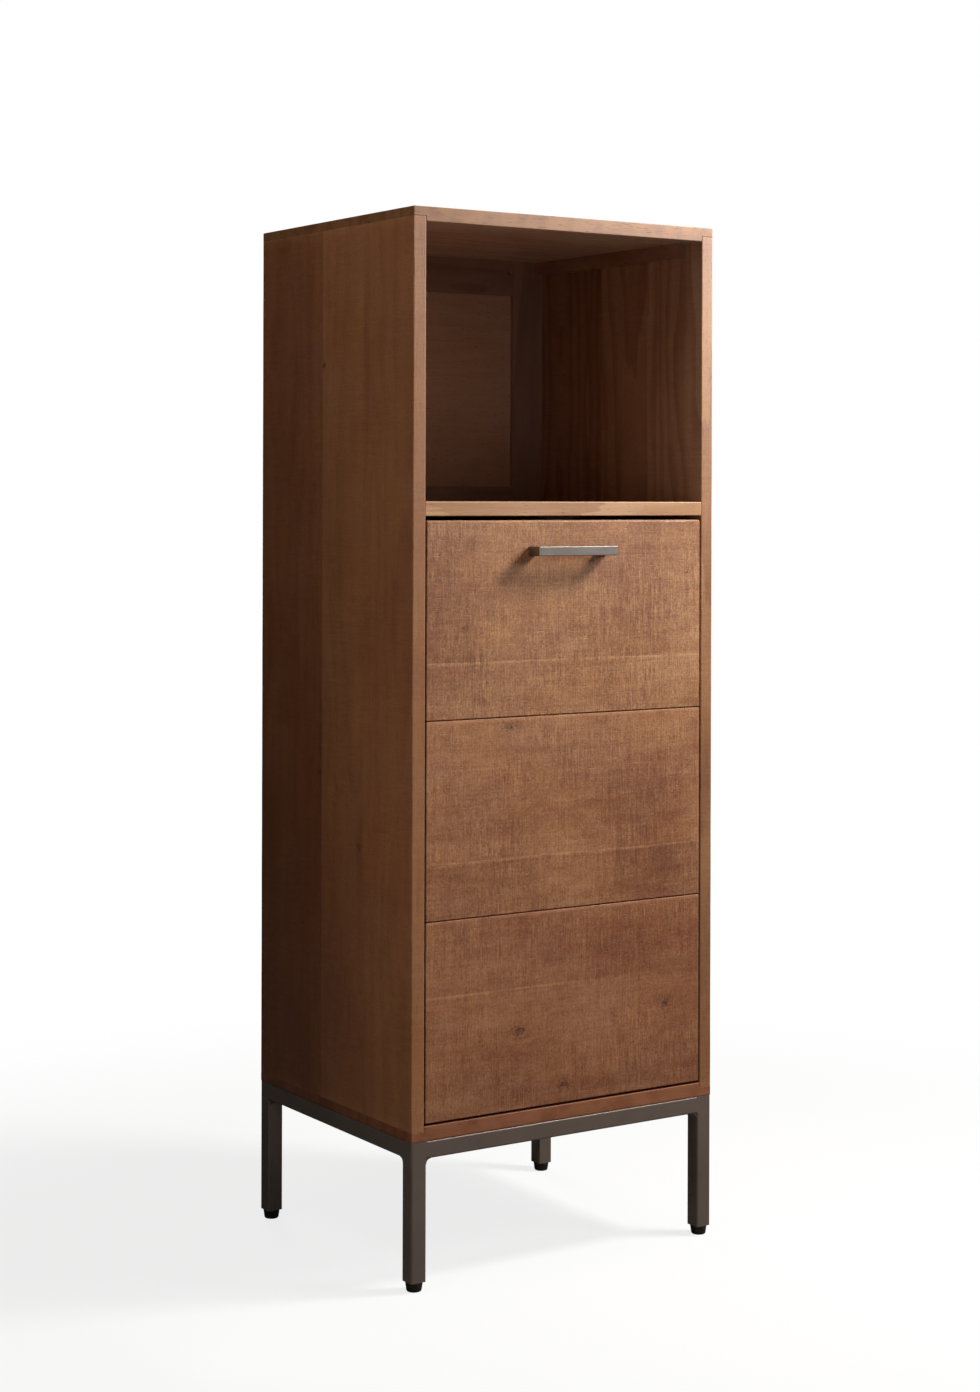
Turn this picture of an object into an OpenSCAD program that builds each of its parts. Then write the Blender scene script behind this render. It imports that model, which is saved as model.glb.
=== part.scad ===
// Tall bathroom cabinet on a welded steel stand: an open cubby above a tilt-out laundry hamper.
// The front faces -Y, +Z is up, and the origin lies under the middle of the whole cabinet.

/* [Case] */
// Outside width of the case
case_w = 465; // [400:1:560]
// Depth of the case from its front edge to its back
case_d = 392; // [350:1:440]
// Height of the case above the steel stand
case_h = 1150; // [1050:1:1300]
// Thickness of the sides, the top, the bottom and the shelf
panel_t = 18; // [16:0.5:22]
// Clear height of the open cubby
cubby_h = 345; // [260:1:420]
// Easing along the edges of the wooden pieces
edge_ease = 0.8; // [0.3:0.1:1.5]

/* [Case joinery] */
// How far the sides reach into the rabbets of the top and the bottom
side_seat = 6; // [4:0.5:8]
// Depth of the grooves in the sides that carry the shelf
shelf_groove = 5; // [3:0.5:7]
// Thickness of the tongues on the shelf's ends
shelf_tongue_t = 9; // [6:0.5:12]
// Length of side left whole in front of the shelf grooves
groove_stop = 16; // [10:1:30]
// Thickness of the cleats under the top
cleat_t = 12; // [10:0.5:16]
// Height of the cleats under the top
cleat_h = 19; // [16:0.5:24]
// Distance of the cleats behind the front edge
cleat_setback = 36; // [20:1:60]

/* [Back] */
// Thickness of the frame of the back
back_t = 18; // [15:0.5:22]
// How far the stiles reach into the rear rabbets of the sides
back_seat = 9; // [6:0.5:11]
// Width of the stiles of the back
stile_w = 60; // [45:1:80]
// Height of the top rail of the back
top_rail_h = 50; // [46:1:80]
// Height of the middle rail of the back, behind the shelf
middle_rail_h = 60; // [45:1:90]
// Height of the bottom rail of the back
bottom_rail_h = 60; // [45:1:90]
// Thickness of the two inset panels and of their grooves
inset_t = 6; // [4:0.5:9]
// Depth of the grooves and length of the rails' tongues
inset_groove = 8; // [6:0.5:10]
// Room for the inset panels to move in their grooves
inset_play = 1; // [0.5:0.1:2]
// Distance of the wall fixing holes from the stiles
wall_hole_in = 6; // [5.5:0.5:60]
// Radius of the wall fixing holes
wall_hole_r = 2.5; // [2:0.1:3.5]
// Radius of the countersink of the wall fixing holes
wall_sink_r = 4.5; // [4:0.1:5]
// Distance of the wall fixing holes below the top panel
wall_hole_drop = 16; // [12:0.5:24]

/* [Door] */
// Thickness of the door planks
door_t = 18; // [16:0.5:20]
// Gap at each side of the door
door_side_gap = 2.5; // [2:0.1:4]
// Gap above the door
door_top_gap = 5.5; // [4:0.1:9]
// Gap under the door
door_bottom_gap = 3; // [2.8:0.1:5]
// Width and depth of the bevel along each plank joint
plank_bevel = 1; // [0.5:0.1:2]
// Width and depth of the bevel along the door's upper edge
upper_bevel = 2; // [1:0.1:4]
// Thickness of the tongues between the planks
tongue_t = 6; // [4:0.5:7]
// Height of the tongues between the planks
tongue_h = 6; // [4:0.5:9]
// Clearance round the tongues
tongue_play = 0.2; // [0.1:0.05:0.4]
// Width of the two battens behind the planks
batten_w = 45; // [36:1:60]
// Thickness of the two battens
batten_t = 18; // [15:0.5:22]
// Distance of the battens' lower ends above the door's lower edge
batten_rise = 34; // [26:1:60]
// Distance of the battens' upper ends below the door's upper edge
batten_drop = 25; // [20:1:60]
// Distance between the two screws of a plank in a batten
plank_screw_span = 124; // [80:1:160]

/* [Door pivot] */
// Height of the pivot above the door's lower edge
pivot_rise = 20; // [16:0.5:20]
// Radius of the steel pivot pins
pin_r = 3; // [2.5:0.1:3.5]
// Running clearance between a pin and the bush in the door
pin_play = 0.05; // [0.03:0.01:0.08]
// Wall of the brass bushes
bush_wall = 2; // [1.5:0.1:2.5]
// Length of the bush in each end of the door
door_bush_l = 22; // [16:1:30]
// Length of the bush in each side of the case
case_bush_l = 12; // [9:0.5:13]
// Length of pin that reaches into the door
pin_reach = 18; // [12:0.5:26]
// Thickness of the flange that keeps the door off the side
flange_t = 2.2; // [1.6:0.1:2.4]
// Width of that flange beyond the bush
flange_rim = 2.5; // [1.5:0.1:3]

/* [Door stays] */
// Angle at which the stays stop the open door
open_angle = 35; // [25:0.5:40]
// Distance of the curved stays from the pivot
stay_r = 480; // [420:1:520]
// Width of the flat bar of a stay
stay_w = 12; // [10:0.5:16]
// Thickness of the flat bar of a stay
stay_t = 3; // [2.5:0.1:4]
// Gap between a stay and the side of the case
stay_wall_gap = 8; // [7:0.5:10]
// Height of the lug that fixes a stay to its batten
lug_h = 60; // [50:1:90]
// Depth of that lug
lug_d = 16; // [14:0.5:17.5]
// Distance between the two screws of a lug
lug_span = 40; // [30:1:44]
// Distance of the keepers behind the battens
keeper_gap = 8; // [6:0.5:14]
// Length of a keeper along the stay
keeper_l = 16; // [12:0.5:22]
// Height of a keeper across the stay
keeper_h = 30; // [28:0.5:38]
// Thickness of the cheek inside the stay
keeper_cheek = 4; // [3:0.5:6]
// Clearance between a stay and its keeper
keeper_play = 0.3; // [0.25:0.05:0.5]
// Radius of the stop stud at the end of a stay
stud_r = 4; // [3:0.1:5]
// Length of the stop stud
stud_l = 10; // [8:0.5:12]

/* [Magnetic catch] */
// Width of the catch body
catch_w = 40; // [34:1:56]
// Depth of the catch body
catch_d = 22; // [18:0.5:30]
// Height of the catch body under the shelf
catch_h = 13; // [12:0.5:16]
// Length of each ear beside the catch body
ear_l = 12; // [10:0.5:16]
// Thickness of the ears
ear_t = 3; // [2.5:0.1:4]
// Width of the magnet
magnet_w = 30; // [22:1:33]
// Depth of the magnet
magnet_d = 14; // [10:0.5:16]
// Height of the magnet
magnet_h = 7; // [5:0.5:8]
// How far the magnet stands out of the catch body
magnet_out = 1; // [0.5:0.1:2]
// Air gap between the magnet and the strike plate
strike_gap = 0.3; // [0.3:0.05:0.6]
// Thickness of the strike plate
strike_t = 1.5; // [1.2:0.1:2.5]
// Width of the strike plate
strike_w = 46; // [40:1:60]
// Height of the strike plate
strike_h = 16; // [14:0.5:24]
// Distance of the strike plate below the door's upper edge
strike_drop = 0.8; // [0.5:0.1:1.2]

/* [Handle] */
// Length of the pull
handle_l = 122; // [96:1:200]
// Height of the pull's bar
handle_h = 12; // [9:0.5:16]
// How far the pull stands out of the door
handle_out = 24; // [20:0.5:34]
// Thickness of the pull's bar
handle_bar_t = 7; // [5:0.5:9]
// Width of each of the pull's posts
handle_post_w = 10; // [8:0.5:14]
// Distance of the pull's middle below the door's upper edge
handle_drop = 39; // [30:0.5:70]
// Easing along the edges of the pull
handle_ease = 0.6; // [0.3:0.1:1]

/* [Laundry bag] */
// Height of the flat bar hoop that carries the bag
hoop_h = 25; // [20:0.5:32]
// Thickness of the hoop's flat bar
hoop_t = 3; // [2.5:0.1:4]
// Corner radius of the hoop
hoop_r = 34; // [20:0.5:60]
// Distance between the two screws of the hoop in a batten
hoop_screw_span = 22; // [16:1:26]
// Gap between the hoop and the keepers at its sides
hoop_side_gap = 6; // [4:0.5:14]
// Gap between the hoop and the back of the case
hoop_rear_gap = 52; // [40:1:90]
// Gap between the swinging hoop and the shelf above
swing_gap = 24; // [12:1:60]
// Height of the bag's floor above the bottom panel
bag_lift = 55; // [40:1:120]
// Thickness of the bag's cloth, its seams and its lining together
bag_wall = 3; // [2.5:0.1:4]
// Gap between the bag and the hoop
bag_play = 0.3; // [0.3:0.05:0.6]
// Height of the hem that lies on the hoop
hem_h = 3; // [2:0.5:5]

/* [Steel stand] */
// Width of the square tube
tube_w = 22; // [19:0.5:30]
// Wall of the square tube
tube_wall = 2; // [1.5:0.1:2.5]
// Outer corner radius of the square tube
tube_r = 2.5; // [2:0.1:4]
// Length of the legs
leg_h = 173; // [120:1:220]
// Radius of the weld fillets between legs and rails
fillet_r = 7; // [4:0.5:12]
// How far the fillets lie inside the tube's faces
fillet_inset = 1; // [0.5:0.1:2.5]
// Length of the two edges of a corner plate
plate_l = 46; // [36:1:60]
// Thickness of a corner plate
plate_t = 5; // [4:0.5:6]
// Distance of a corner plate's hole from the two rails
plate_hole_in = 14; // [12:0.5:16]

/* [Feet] */
// Height of a levelling foot below its leg
foot_h = 12; // [9:0.5:20]
// Radius of a foot pad at its top
pad_top_r = 10.9; // [9:0.1:11]
// Radius of a foot pad at the floor
pad_floor_r = 9.6; // [7:0.1:10]
// Rounding of a foot pad's lower edge
pad_round = 2.2; // [1:0.1:3]
// Radius of the threaded stem
stem_r = 3.95; // [3:0.05:4.95]
// Clearance between the stem and its insert
stem_play = 0.05; // [0.03:0.01:0.08]
// Length of stem above the pad
stem_l = 32; // [26:0.5:45]
// Height of the insert in a leg's lower end
insert_h = 25; // [18:0.5:30]
// Gap between a pad and the leg above it
pad_gap = 0.3; // [0.2:0.05:0.5]
// Thickness of the pad under its stem
pad_floor_t = 4; // [3:0.5:6]

/* [Screws] */
// Shank radius of the small wood screws
screw_r = 1.75; // [1.5:0.05:2]
// Head radius of the small wood screws
screw_head_r = 3.4; // [3:0.1:3.6]
// Height of a countersunk head
screw_head_h = 2; // [1.6:0.1:2.2]
// Least material between a screw head and an edge
head_edge = 0.6; // [0.5:0.1:1]
// Length of the hardware screws
hardware_screw_l = 15; // [13:0.5:15.5]
// Length of screw in the piece that a longer screw holds
screw_bite = 12; // [8:0.5:14]
// Shank radius of the screws that hold the stand
base_screw_r = 2.5; // [2:0.1:3]
// Head radius of the screws that hold the stand
base_head_r = 5; // [4:0.1:6]
// Height of the heads under the corner plates
base_head_h = 3.2; // [2.5:0.1:4.5]
// Shank radius of the screws that hold the handle
handle_screw_r = 2; // [1.5:0.1:2.5]
// Head radius of the screws that hold the handle
handle_head_r = 4; // [3.2:0.1:5]
// Height of those heads
handle_head_h = 2.4; // [2:0.1:3]
// Length of thread inside a handle post
handle_bite = 9; // [6:0.5:12]

/* [Hidden] */
$fn = 64;
arc_fn = 360;
over = 1;
plank_count = 3;
back_screw_count = 5;
cleat_screw_count = 3;
slot_overrun = 4;
least_r = 0.4;

// Case, measured from its front face, its middle and its underside
case_z = foot_h + leg_h;
front_y = (handle_out - case_d) / 2;
half_w = case_w / 2;
inner_half = half_w - panel_t;
inner_top = case_h - panel_t;
inner_d = case_d - back_t;
seat_z = panel_t - side_seat;
shelf_top = inner_top - cubby_h;
shelf_z = shelf_top - panel_t;
tongue_z = shelf_z + (panel_t - shelf_tongue_t) / 2;

// Back
stile_out = inner_half + back_seat;
stile_in = stile_out - stile_w;
inset_y = case_d - (back_t + inset_t) / 2;
middle_rail_z = shelf_z + (panel_t - middle_rail_h) / 2;
wall_hole_x = stile_in - wall_hole_in;
wall_hole_z = inner_top - wall_hole_drop;
sink_h = wall_sink_r - wall_hole_r;

// Door
door_half = inner_half - door_side_gap;
door_z = panel_t + door_bottom_gap;
door_top = shelf_z - door_top_gap;
plank_h = (door_top - door_z) / plank_count;
batten_back = door_t + batten_t;
batten_z = door_z + batten_rise;
batten_top = door_top - batten_drop;

// Pivot line of the door
pivot_y = door_t / 2;
pivot_z = door_z + pivot_rise;
bush_r = pin_r + bush_wall;

// Stays, which curve round the pivot line, and their keepers
stay_out = inner_half - stay_wall_gap;
stay_in = stay_out - stay_t;
batten_in = stay_in - batten_w;
batten_x = stay_in - batten_w / 2;
lug_y = door_t + (batten_t - lug_d) / 2;
lug_angle = asin((door_t + batten_t / 2 - pivot_y) / stay_r);
keeper_y = batten_back + keeper_gap + keeper_l / 2;
keeper_angle = asin((keeper_y - pivot_y) / stay_r);
keeper_in = stay_in - keeper_play - keeper_cheek;
stud_lead = asin((keeper_l / 2 + stud_r + keeper_play) / stay_r);
stud_angle = keeper_angle + stud_lead + open_angle;
keeper_screw_r = stay_w / 2 + keeper_play + screw_head_r + head_edge;

// Catch
strike_y = door_t + strike_t;
magnet_y = strike_y + strike_gap;
catch_y = magnet_y + magnet_out;
catch_z = shelf_z - catch_h;
magnet_z = catch_z + (catch_h - ear_t - magnet_h) / 2;
strike_z = door_top - strike_drop - strike_h;
strike_screw_x = strike_w / 2 - screw_head_r - head_edge;
catch_ear_x = (catch_w + ear_l) / 2;

// Handle
handle_z = door_top - handle_drop;
handle_screw_x = (handle_l - handle_post_w) / 2;

// Hoop and bag
hoop_half = keeper_in - hoop_side_gap;
hoop_back = inner_d - hoop_rear_gap;
hoop_d = hoop_back - batten_back;
swing_r = shelf_z - pivot_z - swing_gap;
hoop_top = pivot_z + sqrt(pow(swing_r, 2) - pow(hoop_back - pivot_y, 2)) - hem_h;
bag_z = panel_t + bag_lift;

// Stand and feet
leg_x = half_w - tube_w / 2;
leg_front_y = tube_w / 2;
leg_back_y = case_d - tube_w / 2;
tube_hole_w = tube_w - 2 * tube_wall;
tube_hole_r = max(tube_r - tube_wall, least_r);
plate_screw_in = tube_w + plate_hole_in;
rail_w = case_w - 2 * tube_w;
rail_d = case_d - 2 * tube_w;
insert_r = stem_r + stem_play;
pad_h = foot_h - pad_gap;

// Screw places along the joints
back_screw_x = inner_half + back_seat / 2;
back_screw_step = (inner_top - panel_t) / back_screw_count;
cleat_screw_step = (inner_d - cleat_setback) / cleat_screw_count;
base_screw_l = plate_t + screw_bite;
cleat_screw_l = cleat_h + screw_bite;
back_screw_l = back_t + screw_bite;
batten_screw_l = batten_t + screw_bite;
keeper_screw_l = inner_half - keeper_in + screw_bite;

// Frames of reference

module in_case() {
    translate([0, front_y, case_z]) children();
}

module at_pivot() {
    in_case() translate([0, pivot_y, pivot_z]) children();
}

module both_sides() {
    children();
    mirror([1, 0, 0]) children();
}

module at_legs() {
    for (x = [-leg_x, leg_x], y = [leg_front_y, leg_back_y])
        translate([x, front_y + y, 0]) children();
}

// Shapes that repeat

// Rectangle from the origin with its corners cut off at 45 degrees
module eased_rect(a, b, ease) {
    polygon([
        [ease, 0], [a - ease, 0], [a, ease], [a, b - ease],
        [a - ease, b], [ease, b], [0, b - ease], [0, ease]
    ]);
}

// Block from the origin with all twelve edges eased
module eased_block(size, ease = edge_ease) {
    intersection() {
        linear_extrude(size[2]) eased_rect(size[0], size[1], ease);
        translate([0, size[1], 0]) rotate([90, 0, 0])
            linear_extrude(size[1]) eased_rect(size[0], size[2], ease);
        rotate([90, 0, 90])
            linear_extrude(size[0]) eased_rect(size[1], size[2], ease);
    }
}

// Square centred on the origin with round corners
module round_square(w, r) {
    square([w - 2 * r, w], center = true);
    square([w, w - 2 * r], center = true);
    for (x = [-1, 1], y = [-1, 1])
        translate([x * (w / 2 - r), y * (w / 2 - r)]) circle(r);
}

// Rectangle centred on x with round corners, from y = 0 to y = d
module round_rect(half, d, r) {
    translate([-half + r, 0]) square([2 * (half - r), d]);
    translate([-half, r]) square([2 * half, d - 2 * r]);
    for (x = [-half + r, half - r], y = [r, d - r])
        translate([x, y]) circle(r);
}

// Flat bar curved round the X axis, between two angles measured from +Z towards +Y.
// It lies on the left, from near to near + thick away from the middle.
module curved_bar(radius, width, near, thick, from, to) {
    rotate([0, -90, 0]) rotate([0, 0, from])
        rotate_extrude(angle = to - from, $fn = arc_fn)
            translate([radius - width / 2, near]) square([width, thick]);
}

// Countersunk screw whose head face is at the origin, driven along +Z
module countersunk(length, shank_r = screw_r, head_r = screw_head_r) {
    cylinder(h = screw_head_h, r1 = head_r, r2 = shank_r);
    cylinder(h = length, r = shank_r);
}

// Case

module side_screw_places() {
    for (i = [0 : back_screw_count - 1])
        translate([back_screw_x, case_d, panel_t + (i + 0.5) * back_screw_step])
            rotate([90, 0, 0]) children();
}

module keeper_screw_places() {
    for (s = [-1, 1])
        translate([0, pivot_y, pivot_z]) rotate([-keeper_angle, 0, 0])
            translate([keeper_in, 0, stay_r + s * keeper_screw_r]) rotate([0, 90, 0]) children();
}

module side_panel() {
    difference() {
        translate([inner_half, 0, seat_z])
            eased_block([panel_t, case_d, case_h - 2 * seat_z]);
        translate([inner_half - over, inner_d, panel_t])
            cube([back_seat + over, back_t + over, inner_top - panel_t]);
        translate([inner_half - over, groove_stop, tongue_z])
            cube([shelf_groove + over, inner_d - groove_stop + over, shelf_tongue_t]);
        translate([inner_half - over, pivot_y, pivot_z]) rotate([0, 90, 0])
            cylinder(h = case_bush_l + over, r = bush_r);
        side_screw_places() countersunk(back_screw_l);
        keeper_screw_places() countersunk(keeper_screw_l);
    }
}

module right_side() {
    color("saddlebrown") in_case() side_panel();
}

module left_side() {
    color("saddlebrown") in_case() mirror([1, 0, 0]) side_panel();
}

module cleat_screw_places() {
    for (i = [0 : cleat_screw_count - 1])
        translate([
            inner_half - cleat_t / 2,
            cleat_setback + (i + 0.5) * cleat_screw_step,
            inner_top - cleat_h
        ]) children();
}

// Top board with the rabbets that the sides reach into
module top_panel() {
    color("peru") in_case() difference() {
        translate([-half_w, 0, inner_top]) eased_block([case_w, case_d, panel_t]);
        both_sides() translate([inner_half, -over, inner_top - over])
            cube([panel_t + over, case_d + 2 * over, side_seat + over]);
        both_sides() cleat_screw_places() countersunk(cleat_screw_l);
    }
}

module plate_screw_places() {
    for (x = [-half_w + plate_screw_in, half_w - plate_screw_in])
        for (y = [plate_screw_in, case_d - plate_screw_in])
            translate([x, y, -plate_t]) children();
}

module bottom_panel() {
    color("peru") in_case() difference() {
        translate([-half_w, 0, 0]) eased_block([case_w, case_d, panel_t]);
        both_sides() translate([inner_half, -over, seat_z])
            cube([panel_t + over, case_d + 2 * over, side_seat + over]);
        plate_screw_places() cylinder(h = base_screw_l, r = base_screw_r);
    }
}

module shelf_screw_places() {
    for (x = [-stile_in / 2, 0, stile_in / 2])
        translate([x, case_d, shelf_z + panel_t / 2]) rotate([90, 0, 0]) children();
}

module catch_screw_places() {
    both_sides() translate([catch_ear_x, catch_y + catch_d / 2, shelf_z - ear_t]) children();
}

module middle_shelf() {
    color("burlywood") in_case() difference() {
        union() {
            translate([-inner_half, 0, shelf_z]) eased_block([2 * inner_half, inner_d, panel_t]);
            translate([-inner_half - shelf_groove, groove_stop, tongue_z])
                cube([2 * (inner_half + shelf_groove), inner_d - groove_stop, shelf_tongue_t]);
        }
        shelf_screw_places() countersunk(back_screw_l);
        catch_screw_places() countersunk(hardware_screw_l);
    }
}

module top_cleat() {
    difference() {
        translate([inner_half - cleat_t, cleat_setback, inner_top - cleat_h])
            cube([cleat_t, inner_d - cleat_setback, cleat_h]);
        cleat_screw_places() countersunk(cleat_screw_l);
    }
}

module right_top_cleat() {
    color("sienna") in_case() top_cleat();
}

module left_top_cleat() {
    color("sienna") in_case() mirror([1, 0, 0]) top_cleat();
}

// Back: stiles and rails with a groove, and two inset panels

module back_stile() {
    difference() {
        translate([stile_in, inner_d, panel_t]) cube([stile_w, back_t, inner_top - panel_t]);
        translate([stile_in - over, inset_y, panel_t - over])
            cube([inset_groove + over, inset_t, inner_top - panel_t + 2 * over]);
        side_screw_places() countersunk(back_screw_l);
    }
}

module back_right_stile() {
    color("sienna") in_case() back_stile();
}

module back_left_stile() {
    color("sienna") in_case() mirror([1, 0, 0]) back_stile();
}

// Rail between the stiles, with a tongue at each end and a groove above, below or both
module back_rail(z, height, groove_above, groove_below) {
    groove_l = 2 * (stile_in + inset_groove + over);
    difference() {
        union() {
            translate([-stile_in, inner_d, z]) cube([2 * stile_in, back_t, height]);
            translate([-stile_in - inset_groove, inset_y, z])
                cube([2 * (stile_in + inset_groove), inset_t, height]);
        }
        if (groove_above)
            translate([-groove_l / 2, inset_y, z + height - inset_groove])
                cube([groove_l, inset_t, inset_groove + over]);
        if (groove_below)
            translate([-groove_l / 2, inset_y, z - over])
                cube([groove_l, inset_t, inset_groove + over]);
    }
}

module back_top_rail() {
    color("sienna") in_case() difference() {
        back_rail(inner_top - top_rail_h, top_rail_h, false, true);
        both_sides() translate([wall_hole_x, inner_d, wall_hole_z]) rotate([-90, 0, 0]) {
            translate([0, 0, -over]) cylinder(h = back_t + 2 * over, r = wall_hole_r);
            cylinder(h = sink_h, r1 = wall_sink_r, r2 = wall_hole_r);
        }
    }
}

module back_middle_rail() {
    color("sienna") in_case() difference() {
        back_rail(middle_rail_z, middle_rail_h, true, true);
        shelf_screw_places() countersunk(back_screw_l);
    }
}

module back_bottom_rail() {
    color("sienna") in_case() back_rail(panel_t, bottom_rail_h, true, false);
}

// Inset panel between two rails, held in the grooves with room to move
module inset_panel(from, to) {
    reach = inset_groove - inset_play;
    translate([-stile_in - reach, inset_y, from - reach])
        cube([2 * (stile_in + reach), inset_t, to - from + 2 * reach]);
}

module upper_back_panel() {
    color("peru") in_case() inset_panel(middle_rail_z + middle_rail_h, inner_top - top_rail_h);
}

module lower_back_panel() {
    color("peru") in_case() inset_panel(panel_t + bottom_rail_h, middle_rail_z);
}

module cleat_screws() {
    color("silver") in_case() both_sides() cleat_screw_places() countersunk(cleat_screw_l);
}

module back_screws() {
    color("silver") in_case() {
        both_sides() side_screw_places() countersunk(back_screw_l);
        shelf_screw_places() countersunk(back_screw_l);
    }
}

// Steel stand

// Leg of square tube, whose inner edges are square where the rails are welded on
module leg(sx, sy) {
    plain_h = leg_h - tube_w;
    color("dimgray") translate([sx * leg_x, front_y + (sy < 0 ? leg_front_y : leg_back_y), foot_h])
        difference() {
            union() {
                linear_extrude(plain_h) round_square(tube_w, tube_r);
                translate([0, 0, plain_h]) linear_extrude(tube_w) {
                    round_square(tube_w, tube_r);
                    translate([-sx * tube_r / 2, 0])
                        square([tube_w - tube_r, tube_w], center = true);
                    translate([0, -sy * tube_r / 2])
                        square([tube_w, tube_w - tube_r], center = true);
                }
            }
            translate([0, 0, -over]) linear_extrude(leg_h + 2 * over)
                round_square(tube_hole_w, tube_hole_r);
        }
}

module front_left_leg() {
    leg(-1, -1);
}

module front_right_leg() {
    leg(1, -1);
}

module back_left_leg() {
    leg(-1, 1);
}

module back_right_leg() {
    leg(1, 1);
}

// Concave weld fillet in the corner between +X and +Z, as thick as the tube's flat
module weld_fillet() {
    fillet_t = tube_w - 2 * fillet_inset;
    translate([0, fillet_t / 2, 0]) rotate([90, 0, 0]) linear_extrude(fillet_t)
        difference() {
            square(fillet_r);
            translate([fillet_r, fillet_r]) circle(fillet_r);
        }
}

// Rail along X between two legs, with its weld fillets, its top at z = 0
module base_rail(length) {
    translate([-length / 2, 0, -tube_w / 2]) rotate([90, 0, 90]) difference() {
        linear_extrude(length) round_square(tube_w, tube_r);
        translate([0, 0, -over]) linear_extrude(length + 2 * over)
            round_square(tube_hole_w, tube_hole_r);
    }
    both_sides() translate([-length / 2, 0, -tube_w]) mirror([0, 0, 1]) weld_fillet();
}

module base_front_rail() {
    color("dimgray") in_case() translate([0, leg_front_y, 0]) base_rail(rail_w);
}

module base_back_rail() {
    color("dimgray") in_case() translate([0, leg_back_y, 0]) base_rail(rail_w);
}

module base_right_rail() {
    color("dimgray") in_case() translate([leg_x, case_d / 2, 0])
        rotate([0, 0, 90]) base_rail(rail_d);
}

module base_left_rail() {
    color("dimgray") in_case() translate([-leg_x, case_d / 2, 0])
        rotate([0, 0, 90]) base_rail(rail_d);
}

// Triangular plate welded into each corner of the stand, flush with its top
module base_corner_plates() {
    color("dimgray") in_case()
        for (x = [-1, 1], y = [0, 1])
            difference() {
                translate([x * (half_w - tube_w), y == 0 ? tube_w : case_d - tube_w, -plate_t])
                    linear_extrude(plate_t)
                        polygon([[0, 0], [-x * plate_l, 0], [0, (1 - 2 * y) * plate_l]]);
                translate([0, 0, -over]) plate_screw_places()
                    cylinder(h = plate_t + 2 * over, r = base_screw_r);
            }
}

module base_screws() {
    color("silver") in_case() plate_screw_places() {
        translate([0, 0, -base_head_h]) cylinder(h = base_head_h, r = base_head_r);
        cylinder(h = base_screw_l, r = base_screw_r);
    }
}

// Threaded insert in the lower end of each leg
module leg_inserts() {
    color("black") at_legs() translate([0, 0, foot_h]) difference() {
        linear_extrude(insert_h) round_square(tube_hole_w, tube_hole_r);
        translate([0, 0, -over]) cylinder(h = insert_h + 2 * over, r = insert_r);
    }
}

// Tapered foot pad with a rounded lower edge, round the lower end of its stem
module foot_pad(sx, sy) {
    color("black") translate([sx * leg_x, front_y + (sy < 0 ? leg_front_y : leg_back_y), 0])
        rotate_extrude() difference() {
            union() {
                polygon([
                    [0, 0], [pad_floor_r - pad_round, 0], [pad_floor_r - pad_round, pad_round],
                    [pad_floor_r, pad_round], [pad_top_r, pad_h], [0, pad_h]
                ]);
                translate([pad_floor_r - pad_round, pad_round]) intersection() {
                    circle(pad_round);
                    translate([0, -pad_round]) square(pad_round);
                }
            }
            translate([0, pad_floor_t]) square([stem_r, pad_h]);
        }
}

module foot_stem(sx, sy) {
    color("silver") translate([sx * leg_x, front_y + (sy < 0 ? leg_front_y : leg_back_y), pad_floor_t])
        cylinder(h = foot_h + stem_l - pad_floor_t, r = stem_r);
}

module front_left_foot_pad() {
    foot_pad(-1, -1);
}

module front_left_foot_stem() {
    foot_stem(-1, -1);
}

module front_right_foot_pad() {
    foot_pad(1, -1);
}

module front_right_foot_stem() {
    foot_stem(1, -1);
}

module back_left_foot_pad() {
    foot_pad(-1, 1);
}

module back_left_foot_stem() {
    foot_stem(-1, 1);
}

module back_right_foot_pad() {
    foot_pad(1, 1);
}

module back_right_foot_stem() {
    foot_stem(1, 1);
}

// Door

// Profile of a plank in depth and height, with a tongue above and a groove below
module plank_profile(tongue, groove) {
    mid = door_t / 2;
    top = tongue ? plank_bevel : upper_bevel;
    difference() {
        union() {
            polygon([
                [plank_bevel, 0], [door_t, 0], [door_t, plank_h],
                [top, plank_h], [0, plank_h - top], [0, plank_bevel]
            ]);
            if (tongue)
                translate([mid - tongue_t / 2, plank_h]) square([tongue_t, tongue_h]);
        }
        if (groove)
            translate([mid - tongue_t / 2 - tongue_play, -over])
                square([tongue_t + 2 * tongue_play, tongue_h + tongue_play + over]);
    }
}

module batten_screw_places() {
    for (i = [0 : plank_count - 1], s = [-0.5, 0.5])
        translate([batten_x, batten_back, door_z + (i + 0.5) * plank_h + s * plank_screw_span])
            rotate([90, 0, 0]) children();
}

module strike_screw_places() {
    both_sides() translate([strike_screw_x, strike_y, strike_z + strike_h / 2])
        rotate([90, 0, 0]) children();
}

// Plank number i from below, with its ends eased at the front
module plank(i) {
    in_case() difference() {
        intersection() {
            translate([-door_half, 0, door_z + i * plank_h]) rotate([90, 0, 90])
                linear_extrude(2 * door_half) plank_profile(i < plank_count - 1, i > 0);
            translate([0, 0, door_z - over]) linear_extrude(door_top - door_z + 2 * over)
                polygon([
                    [edge_ease - door_half, 0], [door_half - edge_ease, 0], [door_half, edge_ease],
                    [door_half, door_t], [-door_half, door_t], [-door_half, edge_ease]
                ]);
        }
        both_sides() batten_screw_places() countersunk(batten_screw_l);
        if (i == 0)
            both_sides() translate([door_half - door_bush_l, pivot_y, pivot_z]) rotate([0, 90, 0])
                cylinder(h = door_bush_l + over, r = bush_r);
        if (i == plank_count - 1) {
            handle_screw_places() cylinder(h = door_t + over, r = handle_screw_r);
            strike_screw_places() countersunk(hardware_screw_l);
        }
    }
}

module door_bottom_plank() {
    color("chocolate") plank(0);
}

module door_middle_plank() {
    color("chocolate") plank(1);
}

module door_top_plank() {
    color("peru") plank(2);
}

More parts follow.
